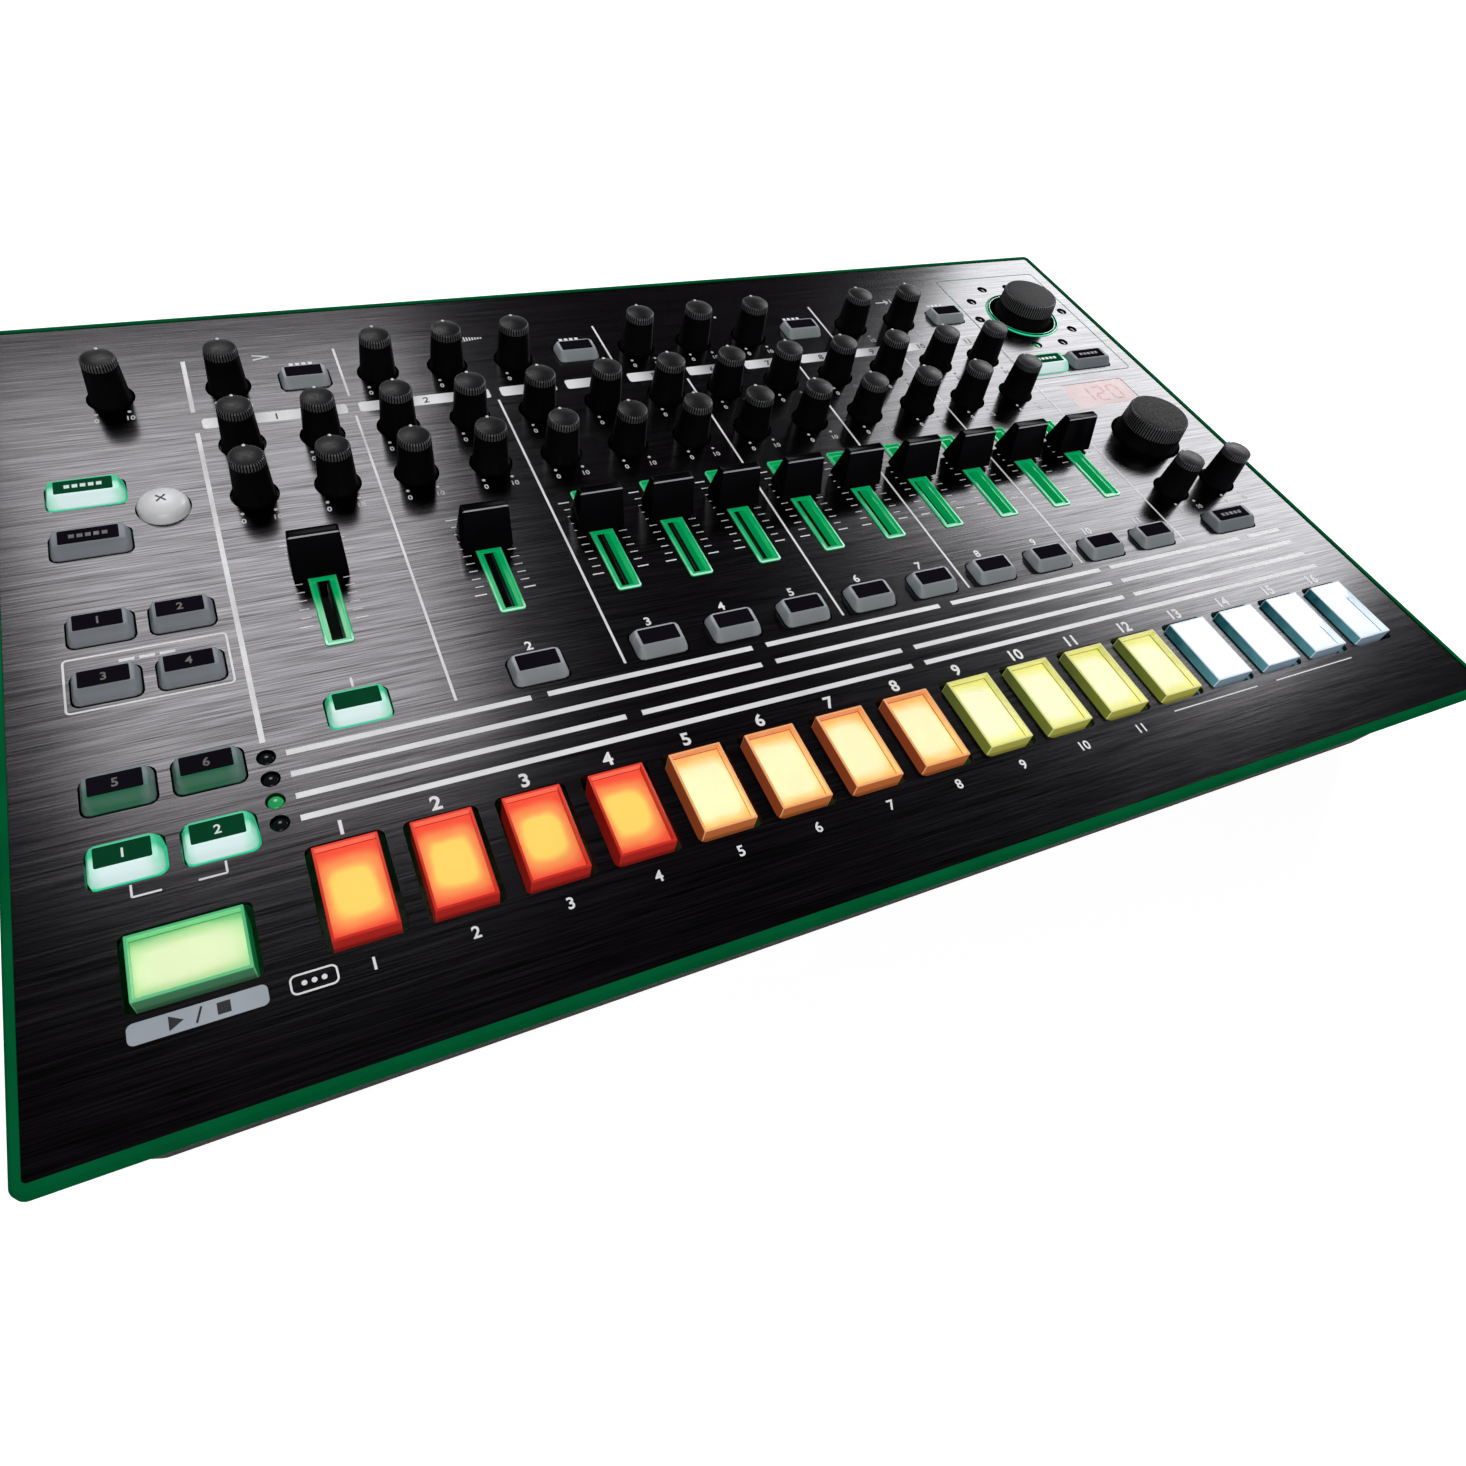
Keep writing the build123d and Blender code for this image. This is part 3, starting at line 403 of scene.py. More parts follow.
def solids_of(node):
    """Centre and size of each solid of a CAD node, in the panel's frame, row by row from the front."""
    copy = bmesh.new()
    copy.from_mesh(frame["nodes"][node].data)
    bmesh.ops.remove_doubles(copy, verts=copy.verts, dist=mm / 1000)
    copy.transform(off_panel)
    unseen = set(copy.verts)
    found = []
    while unseen:
        corners = []
        edge_of_search = [unseen.pop()]
        while edge_of_search:
            vert = edge_of_search.pop()
            corners.append(vert.co.copy())
            linked = {edge.other_vert(vert) for edge in vert.link_edges} & unseen
            unseen -= linked
            edge_of_search += linked
        low = Vector(map(min, zip(*corners)))
        high = Vector(map(max, zip(*corners)))
        found.append(((low + high) / 2, high - low))
    copy.free()
    return sorted(found, key=lambda solid: (round(solid[0].y, 4), solid[0].x))


knob_places = {}
for joint in frame["joints"]:
    if joint["type"] == "hinge":
        knob_places[joint["child"]] = off_panel @ Vector(joint["pos_m"])

column_pitch = (knob_places["ride_tune_knob"].x - knob_places["bass_tune_knob"].x) / 12


def column_x(column):
    """The x of a knob column; halves lie between two columns."""
    return knob_places["bass_tune_knob"].x + column * column_pitch


pads = []
for first in (1, 5, 9, 13):
    caps = solids_of(f"pads_{first}_to_{first + 3}")
    widest = max(size.x for middle, size in caps)
    pads += [middle for middle, size in caps if size.x > widest - mm / 10]
pad_pitch = (pads[-1].x - pads[0].x) / 15
channel_columns = [0.5, 2.5] + list(range(4, 13))
select_row_s = 86.5 * mm
upper_row_s = knob_places["accent_knob"].y
small_knobs = {name: place for name, place in knob_places.items() if name.endswith("_knob")}
white_marks = open_mesh("panel_print")

# Lines between the channels, from the label bars down to the select buttons, and in the upper row;
# the first of each is thicker.
line_width, first_line_width = 0.7 * mm, 1.25 * mm
for top, foot, columns in (
    (196.8 * mm, 82.2 * mm, (-0.5, 1.5, 3.5, 6.5, 8.5, 10.5, 12.5)), (232.5 * mm, 206.7 * mm, (-0.5, 1.5, 5.5, 9.5)),
):
    for column in columns:
        ink_bar(column_x(column), (top + foot) / 2, first_line_width if column < 0 else line_width, top - foot)

# Dots at both ends of each knob's turn, and the ladders beside the faders.
end_mark_x, end_dot_drop, end_figure_drop = 4.3 * mm, 7.35 * mm, 10.2 * mm
for place in small_knobs.values():
    for side in (-1, 1):
        ink_dot(place.x + side * end_mark_x, place.y - end_dot_drop, 0.5 * mm)
fader_middle_s = 128.3 * mm
tick_pitch, ticks_each_way = 3.02 * mm, 5
tick_inner, tick_outer, tick_shorter = 5.1 * mm, 8.4 * mm, 0.9 * mm
for column in channel_columns:
    for i in range(-ticks_each_way, ticks_each_way + 1):
        is_last = abs(i) == ticks_each_way
        end = tick_outer if is_last else tick_outer - tick_shorter
        for side in (-1, 1):
            ink_bar(
                column_x(column) + side * (tick_inner + end) / 2, fader_middle_s + 1.7 * mm + i * tick_pitch,
                end - tick_inner, 0.4 * mm if is_last else 0.28 * mm,
            )

# Stripes over the pads: how many steps make a beat in each of the four scales.
lamp_column_x = -140 * mm  # the scale lamps are left of this
stripe_left, stripe_right = pads[0].x - 7.5 * mm, pads[-1].x + 7.8 * mm
stripe_gap, stripe_width = 4.3 * mm, 1.55 * mm
scale_rows = sorted({round(m.y, 5) for m, size in solids_of("light_guides") if m.x < lamp_column_x}, reverse=True)
for row_s, steps in zip(scale_rows, (3, 6, 4, 8)):
    start = stripe_left
    while start < stripe_right:
        end = min(start + steps * pad_pitch - stripe_gap, stripe_right)
        ink_bar((start + end) / 2, row_s, end - start, stripe_width)
        start += steps * pad_pitch

# Frame round the lower pair of buttons, the bracket under the lit pair, the tag with three dots
# beside the start plate, and the lines under the last pads.
pair_x, bracket_x, front_mark_s = -168.25 * mm, -168.05 * mm, 22.35 * mm
dots_x = -147.1 * mm
ink_tag(pair_x, 109.85 * mm, 35.9 * mm, 16.7 * mm, 1.2 * mm, line=0.5 * mm)
ink_tag(dots_x, front_mark_s, 9.2 * mm, 4.3 * mm, 1.3 * mm, line=0.4 * mm)
for side in (-1, 1):
    ink_bar(bracket_x + side * 8.95 * mm, 52.65 * mm, 0.45 * mm, 2.9 * mm)
    ink_bar(bracket_x + side * 6.2 * mm, 51.2 * mm, 5.5 * mm, 0.45 * mm)
for x in (-1.9, 0, 1.9):
    ink_dot(dots_x + x * mm, front_mark_s, 0.55 * mm)
for x, length in ((102.2, 33.4), (143.65, 33.5)):
    ink_bar(x * mm, 23.8 * mm, length * mm, 0.35 * mm)

# White bars over the channels.
bar_s, bar_height, bar_gap = 200.8 * mm, 4.8 * mm, 3.5 * mm
for column in channel_columns:
    wide = 2 * column_pitch if column < 3 else column_pitch
    ink_tag(column_x(column), bar_s, wide - bar_gap, bar_height, 1.0 * mm)

# Section signs: a wedge for level, an accent, a fading row for reverberation, spaced echoes, and an
# arrow into the box; a row of four steps over each step button, and three dashes over the framed pair.
sign_s, hairline = 231.2 * mm, 0.55 * mm
volume_x, accent_x, arrow_x = knob_places["volume_knob"].x, column_x(0.5), column_x(11)
for i in range(6):
    ink_bar(volume_x + (i - 2.5) * 1.1 * mm, 229.2 * mm + (0.3 + 0.2 * i) * mm, 0.6 * mm, (0.6 + 0.4 * i) * mm)
for side in (-1, 1):
    ink_bar(accent_x, sign_s + side * 0.6 * mm, 5.0 * mm, hairline, turn=-side * 0.24)
for i in range(9):
    ink_bar(column_x(3.5) + (i - 4) * 0.95 * mm, sign_s, 0.5 * mm, (2.9 - 0.28 * i) * mm)
for i in range(4):
    ink_bar(column_x(7.5) + (i - 1.5) * 2.4 * mm, sign_s, 0.8 * mm, (2.9 - 0.65 * i) * mm)
ink_bar(arrow_x, sign_s, 5.6 * mm, hairline)
for side in (-1, 1):
    ink_bar(arrow_x + 2.1 * mm, sign_s + side * 0.65 * mm, 2.0 * mm, hairline, turn=-side * 0.7)
ink_bar(arrow_x + 4.2 * mm, sign_s, hairline, 3.0 * mm)
step_columns = (1, 5, 9, 12)
for column in step_columns:
    for i in range(4):
        ink_bar(column_x(column) + (i - 1.5) * 1.9 * mm, 225.9 * mm, 1.2 * mm, 1.2 * mm)
for i in range(3):
    ink_bar(pair_x + (i - 1) * 4.4 * mm, 115.1 * mm, 3.4 * mm, 0.9 * mm)

# Figures: pads, select buttons, and 0 and 10 at the ends of each knob's turn.
figures = []
for number, place in enumerate(pads, start=1):
    figures.append(ink_figures(str(number), place.x, 55.2 * mm, 3.7 * mm, weight=0.14 * mm))
for number, column in enumerate(channel_columns, start=1):
    figures.append(ink_figures(str(number), column_x(column), 94.6 * mm, 2.9 * mm, weight=0.1 * mm))
    figures.append(ink_figures(str(number), pads[number - 1].x, 22.0 * mm, 2.8 * mm, weight=0.08 * mm))
for place in small_knobs.values():
    for words, side in (("0", -1), ("10", 1)):
        spot = place.x + side * end_mark_x, place.y - end_figure_drop
        figures.append(ink_figures(words, *spot, 1.9 * mm, weight=0.05 * mm))
join(white_marks, figures)
lay_print(white_marks, "chassis", "panel", white_ink)

# Dark figures on the white bars, and the start plate with its triangle, stroke and square.
plate_x, plate_s = -168.0 * mm, 22.4 * mm
start_plate = open_mesh("start_plate_print")
ink_tag(plate_x, plate_s, 24.8 * mm, 4.4 * mm, 1.2 * mm)
lay_print(start_plate, "chassis", "panel", grey_ink)
dark_marks = open_mesh("dark_print")
ink_bar(plate_x + 4.4 * mm, plate_s, 2.4 * mm, 2.4 * mm, base=ink)
ink_bar(plate_x, plate_s, 0.4 * mm, 3.2 * mm, turn=-0.35, base=ink)
bpy.ops.mesh.primitive_cylinder_add(
    vertices=3, radius=1.7 * mm, depth=ink, location=(plate_x - 4.4 * mm, plate_s, 1.5 * ink),
    rotation=(0, 0, -math.pi / 2),
)
figures = []
for number, column in enumerate(channel_columns, start=1):
    figures.append(ink_figures(str(number), column_x(column), bar_s, 2.8 * mm, weight=0.05 * mm, base=ink))
join(dark_marks, figures)
lay_print(dark_marks, "chassis", "panel", black_ink)

# Green hairline round the value dial's corner of the panel.
green_marks = open_mesh("green_print")
ink_tag(167.0 * mm, 207.75 * mm, 51.0 * mm, 70.5 * mm, 2.0 * mm, line=0.4 * mm)
lay_print(green_marks, "chassis", "panel", green_ink)


# Surround: a green moulded frame in a satin finish. It carries the plate on its ledge, is screwed to
# the case from below, and shows as a thin rim.
coat(frame["nodes"]["trim_frame"], plastic(
    "green surround", (0.001, 0.12, 0.036), grain=500, mottle=0.12, spread=0.08, bump=0.15, specular_ior_level=0.0,
))


# Case, feet and fasteners: a black case with a fine sparked texture, soft rubber feet, and zinced
# screws and ring nuts.
coat(frame["nodes"]["bottom_case"], plastic(
    "sparked black case", (0.012, 0.012, 0.013), grain=1500, roughness=0.6, spread=0.15, bump=0.5,
    specular_ior_level=0.03,
))
coat(frame["nodes"]["rubber_feet"], plastic(
    "foot rubber", (0.03, 0.03, 0.03), mottle=0.3, roughness=0.75, spread=0.15, bump=0.3,
))
coat(frame["nodes"]["screws_and_nuts"], new_finish(
    "zinc plate", brushed, {"Color": (0.36, 0.36, 0.38), "Contrast": 0.3, "Roughness": 0.35, "Spread": 0.1},
    bump=0.2, metallic=1.0,
))


# Boards and the bodies on them: green fibre board with its solder mask, which stands on the case's
# pillars, and the black moulded housings of the controls, the sockets and the switch.
coat(frame["nodes"]["circuit_boards"], plastic(
    "solder mask", (0.01, 0.1, 0.03), grain=700, mottle=0.4, roughness=0.3, bump=0.2,
))
housing = plastic("black housing", (0.018, 0.018, 0.02), roughness=0.45, bump=0.2)
for node in ("control_bodies", "rear_sockets", "power_switch"):
    coat(frame["nodes"][node], housing)


# Knobs: soft-touch black plastic, turned narrower to the top, with a domed cap, short ribs under its
# edge for the fingers, a lip at the foot, and a white dot that points to the setting.
fine_grain = {"mottle": 0.25, "bump_distance": 0.02 * mm}
soft_black = plastic(
    "soft black", (0.003, 0.0026, 0.0034), 1400, roughness=0.42, bump=0.25, specular_ior_level=0.03, **fine_grain,
)
# Domed top: a shade lighter than the sides, a painted sheen; its stronger specular is real.
top_painted_sheen = plastic(
    "top with painted sheen", (0.005, 0.0045, 0.0055), 1600, roughness=0.38, bump=0.25, specular_ior_level=0.14, **fine_grain,
)
# Ribs: a lighter finish than the knob, a painted highlight where the rib edges catch the light.
ribs_painted_highlight = plastic("ribs with painted highlight", (0.09, 0.09, 0.095), 1400, roughness=0.35, bump=0.15, **fine_grain)
pointer_white = plastic("pointer white", (0.85, 0.86, 0.86), mottle=0.04, roughness=0.35, spread=0.05)


def paint(slot, test):
    """Gives the faces whose middle passes the test a material slot of the piece."""
    pick("FACE", test)
    bpy.context.object.active_material_index = slot
    bpy.ops.object.material_slot_assign()


def turned_knob(name, height, top, foot, sink, sides, rib_every, rib_top, rib_length, rib_depth, dome, edge):
    """A knob on its spindle, made at the origin: a tapered cylinder, ribbed round its top edge."""
    let_go()
    bpy.ops.mesh.primitive_cylinder_add(
        vertices=sides, radius=foot, depth=height - dome + sink, location=(0, 0, (height - dome - sink) / 2)
    )
    knob = bpy.context.object
    knob.name = name
    coat(knob, soft_black, top_painted_sheen, ribs_painted_highlight, pointer_white)
    bpy.ops.object.transform_apply(location=True, rotation=True, scale=True)
    bpy.ops.object.mode_set(mode="EDIT")
    level = height - dome
    first = level - edge - rib_top - rib_length
    lip, shoulder, crown_rings = foot * 0.12, foot * 0.95, 4
    for cut in (0, lip * 0.5, lip * 1.2, first, level - edge - rib_top):
        bpy.ops.mesh.select_all(action="SELECT")
        bpy.ops.mesh.bisect(plane_co=(0, 0, cut), plane_no=(0, 0, 1))
    bpy.ops.object.mode_set(mode="OBJECT")
    for vert in knob.data.vertices:
        at = vert.co
        if at.z > lip * 0.7:
            share = max((at.z - lip) / (level - lip), 0)
            flat = Vector((at.x, at.y, 0)).normalized() * (shoulder + (top - shoulder) * share)
            vert.co = Vector((flat.x, flat.y, at.z))
    bpy.ops.object.mode_set(mode="EDIT")
    pick("FACE", lambda at: at.z > level - mm / 100)
    bpy.ops.mesh.bevel(offset=edge, segments=3)
    pick("FACE", lambda at: at.z > level - mm / 100)
    for ring in range(crown_rings):
        bpy.ops.mesh.inset(thickness=(top - edge) / (crown_rings + 0.6))
        bpy.ops.transform.translate(value=(0, 0, dome * (crown_rings - ring) / sum(range(crown_rings + 1))))
    step = math.tau / sides

    def is_ribbed(at):
        """Whether a face lies in the band of ribs round the top."""
        return at.z > first and at.x * at.x + at.y * at.y > (top - edge * 0.9) ** 2

    def is_groove(at):
        """Whether a face of that band is one of those pressed in between the ribs."""
        place = round((math.atan2(at.y, at.x) % math.tau) / step - 0.5)
        return is_ribbed(at) and place % rib_every == 0

    # The ribs between the grooves take the lighter finish: a painted highlight.
    paint(2, lambda at: is_ribbed(at) and not is_groove(at))
    pick("FACE", is_groove)
    bpy.ops.mesh.inset(thickness=rib_depth * 0.4, use_individual=False)
    bpy.ops.transform.shrink_fatten(value=-rib_depth)
    # The domed top takes the finish with the painted sheen.
    paint(1, lambda at: at.z > level - mm / 10 and at.x * at.x + at.y * at.y < (top - edge) ** 2)
    bpy.ops.mesh.select_all(action="DESELECT")
    return knob


knob_sink = 1.0 * mm
spindle_radius, spindle_reach, spindle_overlap = 3.0 * mm, 9.5 * mm, 1.0 * mm


def spindle_and_smooth(knob):
    """Adds the round spindle under a knob, let into its foot, and smooths it."""
    bpy.ops.mesh.primitive_cylinder_add(
        vertices=24, radius=spindle_radius, depth=spindle_reach - knob_sink + spindle_overlap,
        location=(0, 0, -(spindle_reach + knob_sink - spindle_overlap) / 2),
    )
    hold(knob)
    bpy.ops.object.shade_smooth_by_angle(angle=math.radians(32))


def copy_of(model, name):
    """A copy of a piece with a mesh of its own."""
    piece = model.copy()
    piece.data = model.data.copy()
    piece.name = name
    bpy.context.scene.collection.objects.link(piece)
    return piece


def drop(piece):
    """Takes a pattern piece away once its copies are made."""
    mesh = piece.data
    bpy.data.objects.remove(piece)
    bpy.data.meshes.remove(mesh)


knob_height, knob_top = 14.1 * mm, 4.65 * mm
knob_model = turned_knob(
    "knob_model", height=knob_height, top=knob_top, foot=5.75 * mm, sink=knob_sink, sides=72, rib_every=2,
    rib_top=0.15 * mm, rib_length=1.5 * mm, rib_depth=0.16 * mm, dome=0.55 * mm, edge=0.5 * mm,
)
spindle_and_smooth(knob_model)
let_go()
bpy.ops.mesh.primitive_uv_sphere_add(
    segments=16, ring_count=8, radius=0.62 * mm, location=(0, knob_top - 0.6 * mm, knob_height - 0.75 * mm),
    scale=(0.9, 1.1, 0.85),
)
dot = bpy.context.object
bpy.ops.object.transform_apply(location=True, rotation=True, scale=True)
bpy.ops.object.shade_smooth()
dot.data.materials.append(pointer_white)
join(knob_model, [dot])
for name, place in small_knobs.items():
    knob = copy_of(knob_model, f"{name}_dressed")
    lay_on_panel(knob, place.x, place.y)
    finish_piece(knob, name, "knob", name)
drop(knob_model)

# The two large dials: the same plastic, wider, with a flat top and longer ribs.
matt_top = plastic(
    "matt dial top", (0.008, 0.008, 0.009), 1600, roughness=0.5, bump=0.2, bump_distance=0.02 * mm,
    specular_ior_level=0.06,
)
for name, radius, height, ribs in (
    ("value_dial", 10.6 * mm, 9.8 * mm, 3.6 * mm), ("tempo_dial", 10.75 * mm, 10.7 * mm, 4.0 * mm),
):
    dial = turned_knob(
        f"{name}_dressed", height=height, top=radius, foot=radius + 1.3 * mm, sink=knob_sink, sides=144,
        rib_every=2, rib_top=0.5 * mm, rib_length=ribs, rib_depth=0.3 * mm, dome=0.3 * mm, edge=0.6 * mm,
    )
    dial.data.materials[1] = soft_black if name == "tempo_dial" else matt_top
    spindle_and_smooth(dial)
    lay_on_panel(dial, knob_places[name].x, knob_places[name].y)
    finish_piece(dial, name, "knob", name)


# Light guides: clear green liners in the fader slots, which carry light up to a bright lip, with the slit
# for the lever painted dark as shade; a double ring round the value dial, painted dark between its lips
# and on its inner wall as shade; and small lenses over the lamps.
def glow_finish(name, group, values, strength, roughness=0.25, **sockets):
    """A lit, clear moulding: its colour varies over it, and it gives off that colour."""
    material = new_finish(name, group, values, roughness=roughness, **sockets)
    tree = material.node_tree
    shader = tree.nodes["Principled BSDF"]
    surface = next(node for node in tree.nodes if node.type == "GROUP")
    tree.links.new(surface.outputs["Color"], shader.inputs["Emission Color"])
    shader.inputs["Emission Strength"].default_value = strength
    return material


# Edge light: one colour at the far end and another at the near end of a length of the panel.
edge_light, given, made = group_of(
    "Edge light", {"Far": (0.1, 0.5, 0.3), "Near": (0.7, 1.0, 0.9), "Far end": 0.05, "Near end": 0.0}, ["Color"]
)
where = add_node(edge_light, "ShaderNodeTexCoord").outputs["Object"]
along = add_node(edge_light, "ShaderNodeSeparateXYZ", {0: where}).outputs["Y"]
wander = add_node(edge_light, "ShaderNodeTexNoise", {"Vector": where, "Scale": 260}).outputs["Fac"]
nearness = remap(edge_light, along, 0.0, 1.0, given["Far end"], given["Near end"])
uneven = remap(edge_light, wander, -0.12, 0.12, 0.3, 0.7)


def mix_colors(tree, share, first, second):
    """Goes from the first colour to the second as the share goes from 0 to 1."""
    return add_node(tree, "ShaderNodeMix", {0: share, 6: first, 7: second}, data_type="RGBA").outputs[2]


share = calculate(edge_light, "ADD", nearness, uneven, clamp=True)
feed(edge_light, made["Color"], mix_colors(edge_light, share, given["Far"], given["Near"]))


def edge_lit(name, far, near, strength, far_end=0.2, near_end=-0.2, **sockets):
    """A lit moulding that runs from one colour at its far end to another at its near end."""
    values = {"Far": far, "Near": near, "Far end": far_end, "Near end": near_end}
    return glow_finish(name, edge_light, values, strength, **sockets)


slot_far = (panel @ Vector((0, 149.4 * mm, 0))).y
slot_near = (panel @ Vector((0, 107.2 * mm, 0))).y
lip_glow = edge_lit("lit lip", (0.02, 0.46, 0.18), (0.45, 0.85, 0.68), 0.35, slot_near + 4 * mm, slot_near)
liner_glow = edge_lit("lit green liner", (0.0, 0.4, 0.12), (0.0, 0.33, 0.1), 0.5, slot_far, slot_near)
# Near black for the slit's walls below the ledge: painted shade.
slit_painted_shade = plastic("slit painted shade", (0.004, 0.004, 0.005), roughness=0.7)


def block(width, length, low, high, corner=0.0, corner_segments=1, s=0.0):
    """Adds an upright block in edit mode, with rounded upright edges; only it is left selected."""
    bpy.ops.mesh.select_mode(type="FACE")
    bpy.ops.mesh.select_all(action="DESELECT")
    bpy.ops.mesh.primitive_plane_add(size=1, location=(0, s, low))
    bpy.ops.transform.resize(value=(width, length, 1), center_override=(0, s, low))
    if corner:
        bpy.ops.mesh.bevel(offset=corner, segments=corner_segments, affect="VERTICES")
    extrude(high - low)


def close_piece(piece, angle=30):
    """Leaves edit mode with faces pointing outwards and curved faces smooth."""
    bpy.ops.mesh.select_all(action="SELECT")
    bpy.ops.mesh.normals_make_consistent(inside=False)
    bpy.ops.object.mode_set(mode="OBJECT")
    bpy.ops.object.shade_smooth_by_angle(angle=math.radians(angle))


def repeat(model, name, places):
    """Copies a piece made at the origin to its places and joins them into one piece on the panel."""
    copies = []
    for x, s in places:
        piece = copy_of(model, name)
        piece.location = (x, s, 0)
        copies.append(piece)
    hold(*copies)
    bpy.ops.object.transform_apply(location=True, rotation=True, scale=True)
    if len(copies) > 1:
        bpy.ops.object.join()
    copies[0].name = name
    lay_on_panel(copies[0])
    return copies[0]


def is_level(height):
    """A test for points at a height."""
    return lambda at: abs(at.z - height) < 0.02 * mm


def is_middle(at):
    """Whether a point is on the axis of a piece made at the origin."""
    return at.x * at.x + at.y * at.y < (0.1 * mm) ** 2


hair = 0.01 * mm  # allowance where faces and edges are picked by their place
slot_width, slot_length = 7.0 * mm, 42.0 * mm
guide_lip, guide_depth = 0.35 * mm, 4.2 * mm
lip_width, ledge_drop, slit_half_width, slit_depth = 0.6 * mm, 0.25 * mm, 1.75 * mm, 3.2 * mm


def open_below():
    """Cuts through a guide whose hole has been drawn down to its foot, and joins the hole's walls to it."""
    pick("FACE", is_level(-guide_depth))
    bpy.ops.mesh.delete(type="FACE")
    pick("EDGE", is_level(-guide_depth))
    bpy.ops.mesh.bridge_edge_loops()


def is_lip_edge(at):
    """Whether an edge runs round the top of the liner's lip, the rounded corners included."""
    across, along = abs(at.x), abs(at.y)
    is_side = across > slot_width / 2 - 0.2 * mm or along > slot_length / 2 - 0.2 * mm
    is_corner = across / (slot_width / 2) + along / (slot_length / 2) > 1.9
    return is_level(guide_lip)(at) and (is_side or is_corner)


def is_slit_floor(at):
    """Whether a face is down in the slit for the lever."""
    return at.z < -slit_depth - 0.1 * mm and abs(at.x) < slit_half_width + hair and abs(at.y) < slot_length / 2 - mm


liner = open_mesh("liner", liner_glow, lip_glow, slit_painted_shade)
block(slot_width, slot_length, -guide_depth, guide_lip)
pick("FACE", is_level(guide_lip))
bpy.ops.mesh.inset(thickness=lip_width)
bpy.ops.mesh.inset(thickness=0.1 * mm)
bpy.ops.transform.translate(value=(0, 0, -ledge_drop - guide_lip))
bpy.ops.mesh.inset(thickness=slot_width / 2 - lip_width - 0.1 * mm - slit_half_width)
extrude(ledge_drop - slit_depth)
extrude(slit_depth - guide_depth)
open_below()
pick("EDGE", lambda at: abs(at.x) > slot_width / 2 - hair and abs(at.y) > slot_length / 2 - hair)
bpy.ops.mesh.bevel(offset=0.9 * mm, segments=4)
pick("EDGE", is_lip_edge)
bpy.ops.mesh.bevel(offset=0.12 * mm, segments=2)
paint(1, lambda at: at.z > guide_lip - 0.15 * mm)
# The walls down in the slit are painted near black: painted shade.
paint(2, is_slit_floor)
close_piece(liner)
fader_xs = [column_x(column) for column in channel_columns]
liners = repeat(liner, "fader_slot_liners", [(x, fader_middle_s) for x in fader_xs])
finish_piece(liners, "chassis", "light_guide", "light_guides")
drop(liner)

ring_radius, edge_round = 15.25 * mm, 0.12 * mm
ring_lip = edge_lit("lit ring lip", (0.0, 0.3, 0.12), (0.02, 0.55, 0.27), 0.8, far_end=0.1, near_end=0.07)
# Dark green for the valley between the lips and the ring's inner wall: painted shade between the lit lips and in the
# gap round the dial.
ring_painted_shade = plastic("ring valley painted shade", (0.0, 0.02, 0.01), roughness=0.3, specular_ior_level=0.1)
ring = open_mesh("value_dial_ring", ring_lip, ring_painted_shade)
bpy.ops.mesh.primitive_cylinder_add(
    vertices=96, radius=ring_radius, depth=guide_depth + guide_lip, location=(0, 0, (guide_lip - guide_depth) / 2)
)
pick("FACE", lambda at: is_level(guide_lip)(at) and is_middle(at))
bpy.ops.mesh.bevel(offset=edge_round, segments=2)
pick("FACE", lambda at: is_level(guide_lip)(at) and is_middle(at))
for inset_by, raise_by in ((0.22, 0), (0.1, -0.5), (0.72, 0), (0.1, 0.5), (0.24, 0)):  # lip, valley, lip
    bpy.ops.mesh.inset(thickness=inset_by * mm)
    bpy.ops.transform.translate(value=(0, 0, raise_by * mm))
extrude(-guide_depth - guide_lip)
open_below()
# Paints the valley and the inner wall dark: painted shade.
paint(1, lambda at: at.z < 0.2 * mm and (at.x ** 2 + at.y ** 2) ** 0.5 < ring_radius - 0.2 * mm)
close_piece(ring)
lay_on_panel(ring, knob_places["value_dial"].x, knob_places["value_dial"].y)
finish_piece(ring, "chassis", "light_guide", "light_guides")

lamp_radius, lamp_sink, lamp_length = 1.7 * mm, 0.35 * mm, 3.8 * mm
smoked_lens = plastic(
    "smoked lens", (0.006, 0.008, 0.008), mottle=0.1, roughness=0.12, spread=0.02, specular_ior_level=0.3,
)
dial_place = knob_places["value_dial"]


def towards_lit_lamp(place):
    """How well a lamp lies in the lit lamp's direction from the value dial: 1 for exactly."""
    return math.cos(math.atan2(place[1] - dial_place.y, place[0] - dial_place.x) + math.radians(108))


lamp_spots = [(m.x, m.y) for m, size in solids_of("light_guides") if size.x < 4 * mm]
lit_lamps = [place for place in lamp_spots if place[0] < lamp_column_x and abs(place[1] - scale_rows[2]) < 0.1 * mm]
lit_lamps.append(max((place for place in lamp_spots if place[0] > 0), key=towards_lit_lamp))


def lamp_lens(name, *materials):
    """A short round lens with a domed end."""
    lens = open_mesh(name, *materials)
    bpy.ops.mesh.primitive_cylinder_add(
        vertices=32, radius=lamp_radius, depth=lamp_length - lamp_sink, location=(0, 0, -(lamp_length + lamp_sink) / 2)
    )
    pick("FACE", is_level(-lamp_sink))
    bpy.ops.mesh.bevel(offset=0.5 * mm, segments=4)
    pick("FACE", lambda at: is_level(-lamp_sink)(at) and is_middle(at))
    for ring_step in range(3):
        bpy.ops.mesh.inset(thickness=0.33 * mm)
        bpy.ops.transform.translate(value=(0, 0, (0.13 - 0.04 * ring_step) * mm))
    close_piece(lens)
    return lens


green_lamp = edge_lit("lit lamp", (0.0, 0.1, 0.03), (0.02, 0.3, 0.09), 0.6, coat_weight=0.3, coat_roughness=0.1)
for name, finish, spots in (
    ("lamp_lenses", smoked_lens, [place for place in lamp_spots if place not in lit_lamps]),
    ("lit_lamp_lenses", green_lamp, lit_lamps),
):
    lens = lamp_lens("lens", finish)
    finish_piece(repeat(lens, name, spots), "chassis", "light_guide", "light_guides")
    drop(lens)


